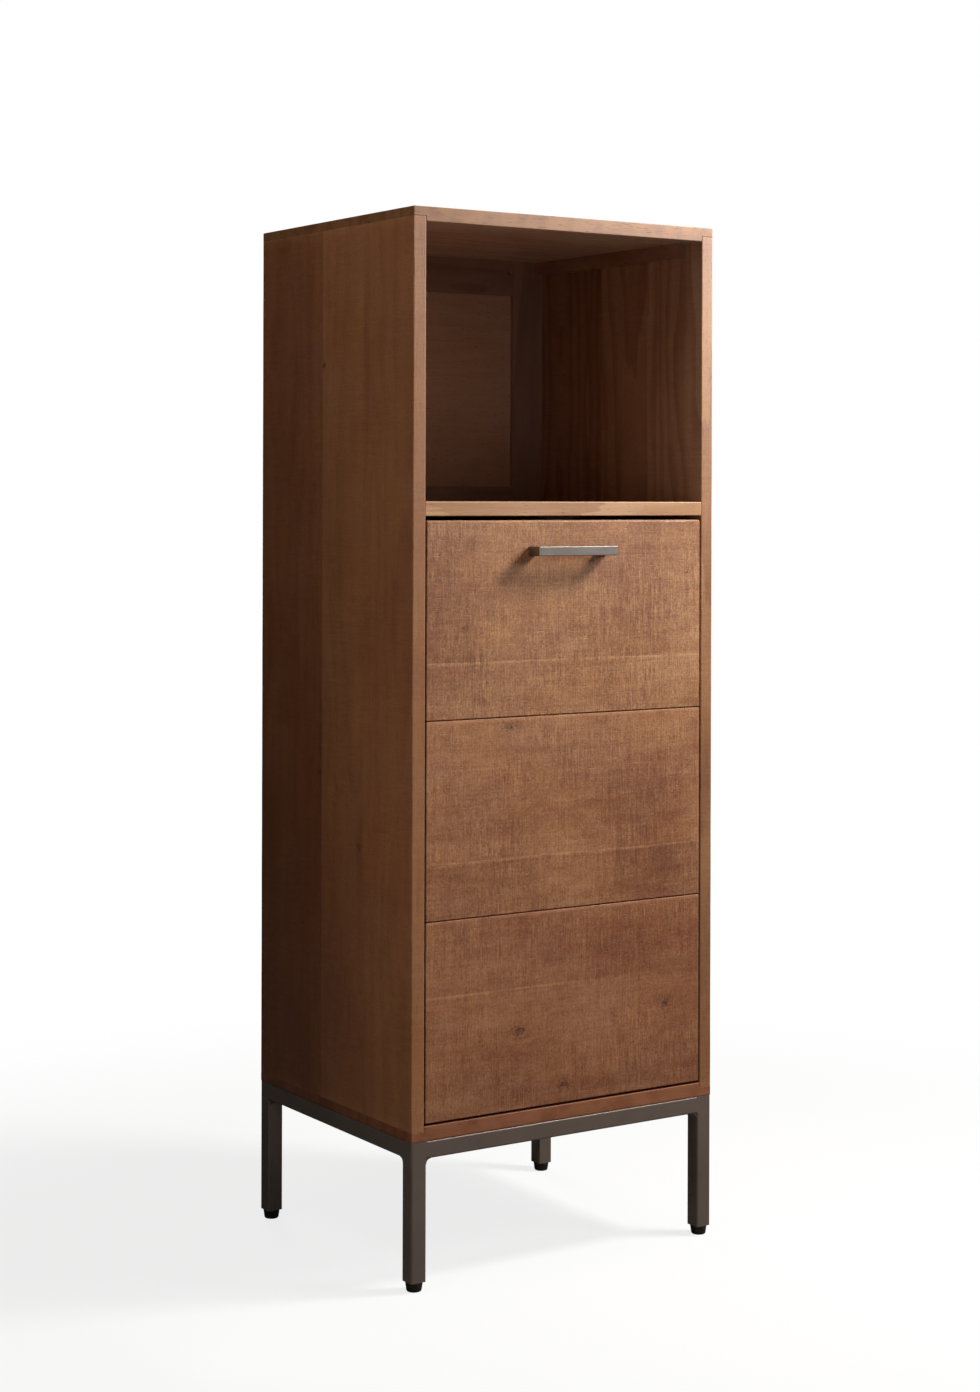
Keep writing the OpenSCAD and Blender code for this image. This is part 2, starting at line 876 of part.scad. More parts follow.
module lug_screw_places() {
    for (s = [-0.5, 0.5])
        translate([stay_out, door_t + batten_t / 2, pivot_z + stay_r + s * lug_span])
            rotate([0, -90, 0]) children();
}

module hoop_screw_places() {
    for (s = [-0.5, 0.5])
        translate([batten_x + s * hoop_screw_span, batten_back + hoop_t, hoop_top - hoop_h / 2])
            rotate([90, 0, 0]) children();
}

module door_batten() {
    difference() {
        translate([batten_in, door_t, batten_z])
            cube([batten_w, batten_t, batten_top - batten_z]);
        batten_screw_places() countersunk(batten_screw_l);
        lug_screw_places() countersunk(hardware_screw_l);
        hoop_screw_places() countersunk(hardware_screw_l);
    }
}

module door_right_batten() {
    color("sienna") in_case() door_batten();
}

module door_left_batten() {
    color("sienna") in_case() mirror([1, 0, 0]) door_batten();
}

module batten_screws() {
    color("silver") in_case() both_sides() batten_screw_places() countersunk(batten_screw_l);
}

module door_hardware_screws() {
    color("silver") in_case() {
        both_sides() lug_screw_places() countersunk(hardware_screw_l);
        both_sides() hoop_screw_places() countersunk(hardware_screw_l);
        strike_screw_places() countersunk(hardware_screw_l);
    }
}

// Handle

module handle_screw_places() {
    both_sides() translate([handle_screw_x, door_t, handle_z]) rotate([90, 0, 0]) children();
}

// Square bow of one bar and two posts
module handle() {
    gap_l = handle_l - 2 * handle_post_w;
    color("gray") in_case() difference() {
        translate([-handle_l / 2, -handle_out, handle_z - handle_h / 2])
            eased_block([handle_l, handle_out, handle_h], handle_ease);
        translate([-gap_l / 2, handle_bar_t - handle_out, handle_z - handle_h / 2 - over])
            cube([gap_l, handle_out - handle_bar_t + over, handle_h + 2 * over]);
        handle_screw_places() cylinder(h = door_t + handle_bite, r = handle_screw_r);
    }
}

module handle_screws() {
    color("silver") in_case() handle_screw_places() {
        translate([0, 0, -handle_head_h]) cylinder(h = handle_head_h, r = handle_head_r);
        cylinder(h = door_t + handle_bite, r = handle_screw_r);
    }
}

// Pivot of the door

module pivot_pins() {
    color("silver") at_pivot() both_sides()
        translate([door_half - pin_reach, 0, 0]) rotate([0, 90, 0])
            cylinder(h = pin_reach + door_side_gap + case_bush_l, r = pin_r);
}

module case_bushes() {
    color("goldenrod") at_pivot() both_sides()
        translate([inner_half, 0, 0]) rotate([0, 90, 0]) difference() {
            cylinder(h = case_bush_l, r = bush_r);
            translate([0, 0, -over]) cylinder(h = case_bush_l + 2 * over, r = pin_r);
        }
}

// Bush in each end of the door, with a flange that runs beside the case
module door_bushes() {
    color("goldenrod") at_pivot() both_sides()
        translate([door_half - door_bush_l, 0, 0]) rotate([0, 90, 0]) difference() {
            union() {
                cylinder(h = door_bush_l, r = bush_r);
                translate([0, 0, door_bush_l]) cylinder(h = flange_t, r = bush_r + flange_rim);
            }
            translate([0, 0, -over])
                cylinder(h = door_bush_l + flange_t + 2 * over, r = pin_r + pin_play);
        }
}

// Stays

// Curved flat bar with a lug on the batten and an eye for the stud, on the left
module stay() {
    at_pivot() difference() {
        union() {
            curved_bar(stay_r, stay_w, stay_in, stay_t, lug_angle, stud_angle);
            rotate([-stud_angle, 0, 0]) translate([-stay_out, 0, stay_r]) rotate([0, 90, 0])
                cylinder(h = stay_t, r = stay_w / 2);
            translate([-stay_out, lug_y - pivot_y, stay_r - lug_h / 2])
                cube([stay_t, lug_d, lug_h]);
        }
        rotate([-stud_angle, 0, 0]) translate([-stay_out - over, 0, stay_r]) rotate([0, 90, 0])
            cylinder(h = stay_t + 2 * over, r = stud_r);
        mirror([1, 0, 0]) translate([0, -pivot_y, -pivot_z])
            lug_screw_places() countersunk(hardware_screw_l);
    }
}

module left_stay() {
    color("darkgray") stay();
}

module right_stay() {
    color("darkgray") mirror([1, 0, 0]) stay();
}

module stay_studs() {
    color("silver") at_pivot() both_sides()
        rotate([-stud_angle, 0, 0])
            translate([stay_in - (stud_l - stay_t) / 2, 0, stay_r]) rotate([0, 90, 0])
                cylinder(h = stud_l, r = stud_r);
}

// Block on the side of the case with a curved slot for the stay, on the left
module keeper() {
    at_pivot() difference() {
        rotate([-keeper_angle, 0, 0])
            translate([-inner_half, -keeper_l / 2, stay_r - keeper_h / 2])
                cube([inner_half - keeper_in, keeper_l, keeper_h]);
        curved_bar(
            stay_r, stay_w + 2 * keeper_play, stay_in - keeper_play, stay_t + 2 * keeper_play,
            keeper_angle - slot_overrun, keeper_angle + slot_overrun
        );
        mirror([1, 0, 0]) translate([0, -pivot_y, -pivot_z])
            keeper_screw_places() countersunk(keeper_screw_l);
    }
}

module left_keeper() {
    color("dimgray") keeper();
}

module right_keeper() {
    color("dimgray") mirror([1, 0, 0]) keeper();
}

module keeper_screws() {
    color("silver") in_case() both_sides() keeper_screw_places() countersunk(keeper_screw_l);
}

// Magnetic catch under the shelf

module catch_housing() {
    color("saddlebrown") in_case() difference() {
        union() {
            translate([-catch_w / 2, catch_y, catch_z]) cube([catch_w, catch_d, catch_h]);
            translate([-catch_w / 2 - ear_l, catch_y, shelf_z - ear_t])
                cube([catch_w + 2 * ear_l, catch_d, ear_t]);
        }
        translate([-magnet_w / 2, catch_y - over, magnet_z])
            cube([magnet_w, magnet_d - magnet_out + over, magnet_h]);
        catch_screw_places() countersunk(hardware_screw_l);
    }
}

module catch_magnet() {
    color("silver") in_case() translate([-magnet_w / 2, magnet_y, magnet_z])
        cube([magnet_w, magnet_d, magnet_h]);
}

module catch_screws() {
    color("silver") in_case() catch_screw_places() countersunk(hardware_screw_l);
}

module strike_plate() {
    color("silver") in_case() difference() {
        translate([-strike_w / 2, door_t, strike_z]) cube([strike_w, strike_t, strike_h]);
        strike_screw_places() countersunk(hardware_screw_l);
    }
}

// Laundry bag on its hoop

module bag_hoop() {
    color("gray") in_case() difference() {
        translate([0, batten_back, hoop_top - hoop_h]) linear_extrude(hoop_h) difference() {
            round_rect(hoop_half, hoop_d, hoop_r);
            translate([0, hoop_t])
                round_rect(hoop_half - hoop_t, hoop_d - 2 * hoop_t, hoop_r - hoop_t);
        }
        both_sides() hoop_screw_places() countersunk(hardware_screw_l);
    }
}

// Open bag that hangs inside the hoop, with a hem that lies on the hoop's upper edge
module laundry_bag() {
    skin = hoop_t + bag_play;
    inner = skin + bag_wall;
    color("wheat") in_case() translate([0, batten_back, 0]) difference() {
        union() {
            translate([0, skin, bag_z]) linear_extrude(hoop_top + bag_play + hem_h - bag_z)
                round_rect(hoop_half - skin, hoop_d - 2 * skin, hoop_r - skin);
            translate([0, 0, hoop_top + bag_play]) linear_extrude(hem_h)
                round_rect(hoop_half, hoop_d, hoop_r);
        }
        translate([0, inner, bag_z + bag_wall])
            linear_extrude(hoop_top + bag_play + hem_h - bag_z)
                round_rect(hoop_half - inner, hoop_d - 2 * inner, hoop_r - inner);
    }
}

left_side();
right_side();
top_panel();
bottom_panel();
middle_shelf();
left_top_cleat();
right_top_cleat();
back_left_stile();
back_right_stile();
back_top_rail();
back_middle_rail();
back_bottom_rail();
upper_back_panel();
lower_back_panel();
base_front_rail();
base_back_rail();
base_left_rail();
base_right_rail();
front_left_leg();
front_right_leg();
back_left_leg();
back_right_leg();
base_corner_plates();
base_screws();
leg_inserts();
front_left_foot_pad();
front_left_foot_stem();
front_right_foot_pad();
front_right_foot_stem();
back_left_foot_pad();
back_left_foot_stem();
back_right_foot_pad();
back_right_foot_stem();
door_bottom_plank();
door_middle_plank();
door_top_plank();
door_left_batten();
door_right_batten();
batten_screws();
handle();
handle_screws();
pivot_pins();
case_bushes();
door_bushes();
left_stay();
right_stay();
stay_studs();
left_keeper();
right_keeper();
keeper_screws();
catch_housing();
catch_magnet();
catch_screws();
strike_plate();
door_hardware_screws();
bag_hoop();
laundry_bag();
cleat_screws();
back_screws();
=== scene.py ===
"""Tall bathroom cabinet on a welded steel stand: what is seen of it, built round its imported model.

Metres, the front faces -Y, +Z is up. Boards, pull, feet, screws and bag are worked out with numpy and
stand for their CAD nodes; every other node keeps its shape and gets a worked finish.
"""
import math

import bpy
import numpy as np
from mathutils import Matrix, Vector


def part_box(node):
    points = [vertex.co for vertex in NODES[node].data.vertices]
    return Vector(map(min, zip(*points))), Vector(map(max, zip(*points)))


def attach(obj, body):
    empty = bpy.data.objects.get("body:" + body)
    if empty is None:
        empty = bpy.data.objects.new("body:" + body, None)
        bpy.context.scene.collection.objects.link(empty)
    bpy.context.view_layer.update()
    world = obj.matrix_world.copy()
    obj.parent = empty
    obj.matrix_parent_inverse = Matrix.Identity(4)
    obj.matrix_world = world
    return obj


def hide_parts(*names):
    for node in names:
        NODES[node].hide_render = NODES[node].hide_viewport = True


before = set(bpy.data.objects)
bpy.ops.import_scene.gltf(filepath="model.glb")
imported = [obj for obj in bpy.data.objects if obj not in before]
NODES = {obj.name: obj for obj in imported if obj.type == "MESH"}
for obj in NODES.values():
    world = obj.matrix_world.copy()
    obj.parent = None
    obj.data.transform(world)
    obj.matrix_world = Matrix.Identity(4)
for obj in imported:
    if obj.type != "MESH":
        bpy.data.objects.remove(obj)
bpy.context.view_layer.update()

MM = 0.001


# Camera, light, floor

# Height of the photo in pixels, focal length in pixels, and the row of the horizon
PHOTO_H, FOCAL_PX, HORIZON_PX = 1392, 2475.54, 498.077
CAMERA_AT = (-1.81571, -2.77319, 0.97640)
YAW, ROLL = math.radians(33.222), math.radians(0.159)


def set_camera():
    """A level camera turned YAW to the right of +Y. Its lens is the focal length in pixels on a 36 mm
    long side, and its shift puts the horizon on its own row of the picture."""
    cam = bpy.data.cameras.new("camera")
    cam.sensor_width = 36
    cam.lens = cam.sensor_width * FOCAL_PX / PHOTO_H
    cam.shift_y = (HORIZON_PX - PHOTO_H / 2) / PHOTO_H
    cam.clip_start, cam.clip_end = 0.05, 60
    obj = bpy.data.objects.new("camera", cam)
    obj.location = CAMERA_AT
    obj.rotation_euler = (math.pi / 2, -ROLL, -YAW)
    bpy.context.scene.collection.objects.link(obj)
    bpy.context.scene.camera = obj


# Name, place, aim, width, height, power and colour of each soft lamp
LAMPS = (
    ("key_light", (1.14, -0.75, 1.90), (0.0, -0.18, 0.92), 0.44, 0.44, 47, (1.0, 0.98, 0.95)),
    ("front_softbox", (1.31, -1.42, 1.52), (0.10, -0.18, 1.15), 0.60, 0.60, 14.5, (1.0, 1.0, 0.98)),
    ("left_strip", (-0.60, -0.31, 0.58), (-0.23, -0.19, 0.58), 0.16, 1.00, 0.59, (1.0, 0.99, 0.97)),
    ("left_high_fill", (-0.85, -0.18, 1.70), (-0.23, 0.02, 1.20), 0.50, 0.50, 2.25,
     (1.0, 0.99, 0.97)),
    ("low_fill", (-0.30, -1.10, 0.80), (0.0, 0.0, 0.95), 0.40, 0.40, 1.1, (1.0, 0.99, 0.97)),
    ("back_fill", (0.45, 2.00, 1.05), (0.0, 0.2, 0.72), 0.90, 0.90, 10, (1.0, 0.99, 0.97)),
)
# Strength of the world's even light on what isn't glossy
FILL = 0.02
# Strength of the studio that a gloss sees, at its brightest and darkest, and the way of its dark end
STUDIO_BRIGHT, STUDIO_DARK = 0.50, 0.03
BEHIND = (-0.62, 0.78)


def set_lamps():
    """Round or oval soft lamps: a key from the right, above and in front, a softbox that the front
    faces mirror, a tall strip and a high fill for the left side, a low fill and one for the back."""
    for name, place, aim, wide, high, power, colour in LAMPS:
        lamp = bpy.data.lights.new(name, "AREA")
        lamp.shape = "ELLIPSE"
        lamp.size, lamp.size_y, lamp.energy, lamp.color = wide, high, power, colour
        obj = bpy.data.objects.new(name, lamp)
        obj.location = place
        way = np.array(aim) - np.array(place)
        obj.rotation_euler = (
            math.acos(-way[2] / np.linalg.norm(way)), 0, math.atan2(way[1], way[0]) - math.pi / 2)
        obj.visible_camera = False
        bpy.context.scene.collection.objects.link(obj)


# Shader maths


def maths(operation, swapped=False):
    """A method that feeds a value, and any other numbers, to one Math node."""
    def method(self, *others):
        terms = (self, *others)
        sockets = dict(enumerate(terms[::-1] if swapped else terms))
        return self.graph.add("Math", {"operation": operation}, sockets)
    return method


class Value:
    """A number that varies over a surface: a node's output that takes part in sums."""

    def __init__(self, graph, socket):
        self.graph, self.socket = graph, socket

    __add__ = __radd__ = maths("ADD")
    __mul__ = __rmul__ = maths("MULTIPLY")
    __sub__ = maths("SUBTRACT")
    __rsub__ = maths("SUBTRACT", swapped=True)
    __truediv__ = maths("DIVIDE")
    __pow__ = maths("POWER")
    __gt__ = maths("GREATER_THAN")
    __abs__ = maths("ABSOLUTE")
    sin = maths("SINE")
    sqrt = maths("SQRT")
    fract = maths("FRACT")
    exponent = maths("EXPONENT")
    above = maths("MAXIMUM")
    below = maths("MINIMUM")

    def ease(self, low, high, to_low=0.0, to_high=1.0):
        """Smooth step from to_low at low to to_high at high."""
        return self.graph.add(
            "MapRange", {"interpolation_type": "SMOOTHSTEP"},
            {"Value": self, "From Min": low, "From Max": high, "To Min": to_low, "To Max": to_high})

    def bell(self, middle, width):
        """Bell curve that is 1 at middle and about 0.37 at width from it."""
        off = (self - middle) / width
        return (off * off * -1.0).exponent()


class Graph:
    """The node tree of a material or of the world."""

    def __init__(self, owner):
        owner.use_nodes = True
        self.tree = owner.node_tree
        self.tree.nodes.clear()

    def add(self, kind, settings=None, sockets=None, out=0):
        """A node of that type. Its settings, such as a ramp's stops and blend, are set first, and then
        its sockets are given or linked."""
        node = self.tree.nodes.new("ShaderNode" + kind)
        for key, value in (settings or {}).items():
            if key == "stops":
                stops = node.color_ramp.elements
                while len(stops) < len(value):
                    stops.new(0.5)
                for stop, (place, colour) in zip(stops, value):
                    stop.position, stop.color = place, (*colour, 1)
            elif key == "blend":
                node.color_ramp.interpolation = value
            else:
                setattr(node, key, value)
        for key, value in (sockets or {}).items():
            if isinstance(value, Value):
                self.tree.links.new(value.socket, node.inputs[key])
            else:
                node.inputs[key].default_value = value
        return Value(self, node.outputs[out]) if node.outputs else None

    def xyz(self, vector):
        """The three numbers of a vector."""
        first = self.add("SeparateXYZ", None, {0: vector})
        return [Value(self, first.socket.node.outputs[i]) for i in range(3)]

    def vector(self, x, y, z):
        """A vector of three numbers."""
        return self.add("CombineXYZ", None, {0: x, 1: y, 2: z})

    def noise(self, vector, scales, detail=2.0, rough=0.5):
        """Noise of 0 to 1 with so many features per metre along each axis as scales says."""
        spread = self.add("VectorMath", {"operation": "MULTIPLY"}, {0: vector, 1: scales})
        return self.add(
            "TexNoise", {"noise_dimensions": "3D"},
            {"Vector": spread, "Scale": 1.0, "Detail": detail, "Roughness": rough})

    def place(self):
        """The point on the surface in metres."""
        return self.add("TexCoord", None, None, out=3)

    def worn(self):
        """The share of wear that a mesh holds for each of its points."""
        return self.add(
            "Attribute", {"attribute_type": "GEOMETRY", "attribute_name": "worn"}, None, out=2)

    def facing(self):
        """The three numbers of the way in which the face looks."""
        return self.xyz(self.add("NewGeometry", None, None, out=1))

    def mix(self, share, first, second, kind="MIX"):
        """Colour between first and second."""
        sockets = {0: share}
        for key, colour in ((6, first), (7, second)):
            sockets[key] = colour if isinstance(colour, Value) else (*colour, 1)
        return self.add("Mix", {"data_type": "RGBA", "blend_type": kind}, sockets, out=2)

    def surface(self, colour, rough, height, relief, **others):
        """Finishes the material: base colour, roughness, a bump of height times relief, and other
        sockets of the shader by their names."""
        sockets = {"Base Color": colour, "Roughness": rough}
        for key, value in others.items():
            sockets[key.replace("_", " ")] = value
        sockets["Normal"] = self.add(
            "Bump", None, {"Strength": 1.0, "Distance": relief, "Height": height})
        shader = self.add("BsdfPrincipled", None, sockets)
        self.add("OutputMaterial", None, {0: shader})


def new_material(name):
    """A material of that name and the graph of its nodes."""
    material = bpy.data.materials.new(name)
    return material, Graph(material)


def set_world():
    """Even fill for what is lit. The camera sees white behind the cabinet, and a gloss sees a studio
    that is bright in front of it and dark behind it on its left."""
    world = bpy.data.worlds.new("studio")
    bpy.context.scene.world = world
    g = Graph(world)
    camera, glossy, through = (
        g.add("LightPath", out=f"Is {ray} Ray") for ray in ("Camera", "Glossy", "Transmission"))
    x, y, _ = g.xyz(g.add("TexCoord"))
    behind = (x * BEHIND[0] + y * BEHIND[1]).ease(0.10, 0.80)
    studio = STUDIO_BRIGHT + (STUDIO_DARK - STUDIO_BRIGHT) * behind
    plain = FILL * (1 - glossy) + studio * glossy
    seen = camera.above(through)
    strength = plain * (1 - seen) + seen
    tint = g.mix(seen, (1.0, 0.985, 0.965), (1, 1, 1))
    back = g.add("Background", None, {"Color": tint, "Strength": strength})
    g.add("OutputWorld", None, {0: back})


# Distances from the middle where the floor begins to turn white and where it is white, and its reach
FLOOR_NEAR, FLOOR_FAR, FLOOR_REACH = 0.55, 1.5, 30.0


def make_floor():
    """A plain pale floor. The camera sees it nearly white with the cabinet's soft shadow near its feet,
    and purely white further off, so it has no horizon."""
    mesh = bpy.data.meshes.new("floor")
    corners = [(x * FLOOR_REACH, y * FLOOR_REACH, 0) for x, y in ((-1, -1), (1, -1), (1, 1), (-1, 1))]
    mesh.from_pydata(corners, [], [(0, 1, 2, 3)])
    floor = bpy.data.objects.new("floor", mesh)
    bpy.context.scene.collection.objects.link(floor)
    material, g = new_material("pale_floor")
    camera = g.add("LightPath", out="Is Camera Ray")
    x, y, _ = g.xyz(g.place())
    far = (x * x + y * y).sqrt().ease(FLOOR_NEAR, FLOOR_FAR, 0.80, 1.0)
    matt = g.add("BsdfDiffuse", None, {"Color": (0.9, 0.9, 0.9, 1)})
    dull = g.add("BsdfDiffuse", None, {"Color": (0.20, 0.19, 0.18, 1)})
    white = g.add("Emission", None, {"Color": (1, 1, 1, 1), "Strength": 1.0})
    seen = g.add("MixShader", None, {0: far, 1: matt, 2: white})
    both = g.add("MixShader", None, {0: camera, 1: dull, 2: seen})
    g.add("OutputMaterial", None, {0: both})
    mesh.materials.append(material)


set_camera()
set_lamps()
set_world()
make_floor()


# Wood

# Stained wood, from its darkest grain to its lightest, as linear colours
BROWN = ((0.125, 0.037, 0.0145), (0.262, 0.106, 0.047), (0.420, 0.210, 0.104))
# The same wood where it is less stained, inside the cubby
DULL = ((0.110, 0.043, 0.023), (0.235, 0.112, 0.066), (0.380, 0.215, 0.135))


def toned(colours, red, green, blue):
    """The three colours with each channel made stronger by its own factor."""
    return tuple((c[0] * red, c[1] * green, c[2] * blue) for c in colours)


def scaled(colour, factor):
    """A colour made lighter or darker by a factor, and no lighter than white."""
    return tuple(min(1.0, v * factor) for v in colour)


# Features per metre along the grain, across it and through it, then detail and roughness, of each noise
GRAIN = {
    "slow": ((2.2, 9, 9), 2.0), "rings": ((7, 60, 60), 2.0), "fibre": ((14, 520, 520), 3.0, 0.6),
    "fleck": ((85, 700, 700), 1.0), "cloud": ((5, 8, 8), 3.0, 0.55), "band": ((1.2, 34, 34), 1.0),
    "hue": ((9, 13, 13), 2.0), "edge": ((9, 1, 1), 1.0), "rubbed_and_highlight": ((30, 60, 60), 2.0),
    "bare": ((40, 40, 40), 2.0), "check": ((150, 190, 190), 1.0), "patch": ((16, 12, 12), 2.0),
    "fine": ((560, 38, 38), 2.0, 0.65), "long": ((230, 9, 9), 1.0), "speck": ((420, 330, 330), 1.0),
    "mottle": ((34, 60, 60), 2.0, 0.6), "dash": ((560, 130, 130), 1.0),
    "chip": ((150, 520, 520), 1.0)}
# Roughness of oiled wood, and how far its pores and fibres stand out
WOOD_GLOSS, WOOD_RELIEF = 0.44, 0.16 * MM
# How much a board's own number, the clouds, the late wood, the bands and the fibres change the tone
BOARD_TONE, CLOUD_TONE, LATE_TONE, BAND_TONE, FIBRE_TONE = 0.55, 0.9, 0.30, 0.8, 0.22
# The same for the saw's marks: fine and long scratches, specks, mottle and fibres
FINE_TONE, LONG_TONE, SPECK_TONE, MOTTLE_TONE, TORN_TONE = 1.05, 0.42, 0.66, 0.42, 0.26
# Tones at which the ramp has each of its three colours, and the two hues between which wood wanders
STOPS = (0.12, 0.5, 0.88)
WARM, COOL = (1.01, 0.985, 0.93), (0.995, 1.005, 1.05)
# Darkness of a pore and the most that pores and knots darken, with the shares of the darkest colour
# that they and a seam's crack keep
PORE_DARK, MOST_DARK, DARK_SHARE, CRACK_SHARE = 0.42, 0.88, 0.30, 0.68
# Depth of a seam's crack and of the painted highlight below the seam, and the width of each
CRACK_LOW, CRACK_W, HIGHLIGHT_LOW, HIGHLIGHT_W = 0.10 * MM, 1.05 * MM, 2.6 * MM, 1.5 * MM


class Boards:
    """Boards glued edge to edge at the places in joints.

    A point lies at a along the grain, c across it and d through it. own is a random number of each
    board, and lighter is the sum of the shifts up to it. grain is the point moved by own and the seed,
    so that no two boards have the same figure."""

    def __init__(self, g, along, across, joints, shifts, seed):
        self.g, self.seed = g, seed
        axes = dict(zip("xyz", g.xyz(g.place())))
        depth = ({"x", "y", "z"} - {along, across}).pop()
        self.a, self.c, self.d = axes[along], axes[across], axes[depth]
        board, self.lighter = 0.0, 0.0
        for place, shift in zip(joints, shifts or [0.0] * len(joints)):
            beyond = self.c > place
            board = beyond + board
            self.lighter = beyond * shift + self.lighter
        self.own = g.add(
            "TexWhiteNoise", {"noise_dimensions": "1D"}, {"W": seed + 0.37 + board * 1.3})
        self.a2 = self.a + self.own * 5.0 + seed
        self.c2 = self.c + self.own * 0.7 + seed * 0.31
        self.grain = g.vector(self.a2, self.c2, self.d)

    def noise(self, kind, at=None):
        """One of the noises in GRAIN, that goes with the boards' grain where no point is given."""
        return self.g.noise(self.grain if at is None else at, *GRAIN[kind])

    def moved(self, along, across=0):
        """The point moved by so many seeds along and across the grain."""
        return self.g.vector(self.a + along * self.seed, self.c + across * self.seed, self.d)

    def away(self, along, across, shrunk):
        """Square of the distance from a place, where distance along the grain counts for less."""
        return (self.a - along) * (self.a - along) * shrunk + (self.c - across) * (self.c - across)


def late_wood(b, knots):
    """Growth rings are the distance from a heart line that dips and climbs along the board, so they
    draw arches, and they bend round each knot. A saw-toothed wave of that distance is light early wood
    that darkens into late wood."""
    heart = (b.c2 * 6.5 + b.own).fract() - 0.5
    lift = 0.10 + b.noise("slow") * 0.55
    ring = (heart * heart + lift * lift).sqrt() * 9.0 + b.noise("rings") * 0.7
    for along, across, radius, power in knots:
        bent = (b.away(along, across, 0.35) / (9 * radius * radius)).bell(0.0, 1.0)
        ring = ring + bent * (1.2 * power)
    wave = ring.fract()
    return wave.ease(0.35, 0.95) * wave.ease(0.96, 1.0, 1.0, 0.0)


def saw_scratches(b, fibre, pore, saw):
    """Tone, pores and height of what the saw left: noise drawn out across the grain, fine and long,
    that comes and goes in patches, with specks, a slow mottle, dark dashes and chips."""
    patch = b.noise("patch", b.moved(1, -1)).ease(0.30, 0.68, 0.25, 1.0)
    fine = b.noise("fine", b.moved(1))
    long = b.noise("long", b.moved(2))
    speck = b.noise("speck", b.moved(0, 1))
    mottle = b.noise("mottle", b.moved(-1))
    tone = (((fine - 0.5) * FINE_TONE + (long - 0.5) * LONG_TONE) * patch
            + (speck - 0.5) * SPECK_TONE + (mottle - 0.5) * MOTTLE_TONE
            + (fibre - 0.5) * TORN_TONE) * saw
    dash = b.noise("dash", b.moved(3)).ease(0.61, 0.70)
    chip = b.noise("chip", b.moved(5)).ease(0.65, 0.73)
    pore = (pore * 0.5).above(dash * patch * saw).above(chip * patch * saw)
    return tone, pore, (fine * patch + speck * 0.4) * (0.7 * saw)


def streak(b, place, width, start, stop, power):
    """A light band along the grain from start to stop, with a sharp upper and a soft lower edge."""
    ends = b.a.ease(start - 0.02, start + 0.02) * b.a.ease(stop - 0.03, stop + 0.03, 1.0, 0.0)
    edge = place + (b.noise("edge") - 0.5) * (2.4 * MM)
    band = (b.c - edge).ease(-width, 0.0) * (b.c - edge).ease(0.0, 0.5 * MM, 1.0, 0.0)
    return band * ends * b.noise("rubbed_and_highlight").ease(0.25, 0.60) * power


def painted_shade(b, cloud, along, across, wide, high, power):
    """A soft cloud with a wavering outline, darker where power is above 0 and lighter below it: painted
    shade and painted light, and in places the wood's own cloudy tone.
    """
    off = ((b.a - along) / wide) ** 2.0 + ((b.c - across) / high) ** 2.0
    return (off.above(0.0).sqrt() + (cloud - 0.5) * 1.2).ease(0.35, 1.15, 1.0, 0.0) * power


def knot(b, along, across, radius, power):
    """Darkness of a knot: a round bell, and fine checks where a noise crosses its middle value."""
    away = b.away(along, across, 0.5)
    off = b.noise("check", b.moved(-1, 1)) - 0.5
    checks = (off * off).ease(0.0, 0.0016, 1.0, 0.0) * (away / (6 * radius * radius)).bell(0.0, 1.0)
    return (away / (radius * radius)).bell(0.0, 1.0) * (0.55 * power) + checks * (0.8 * power)


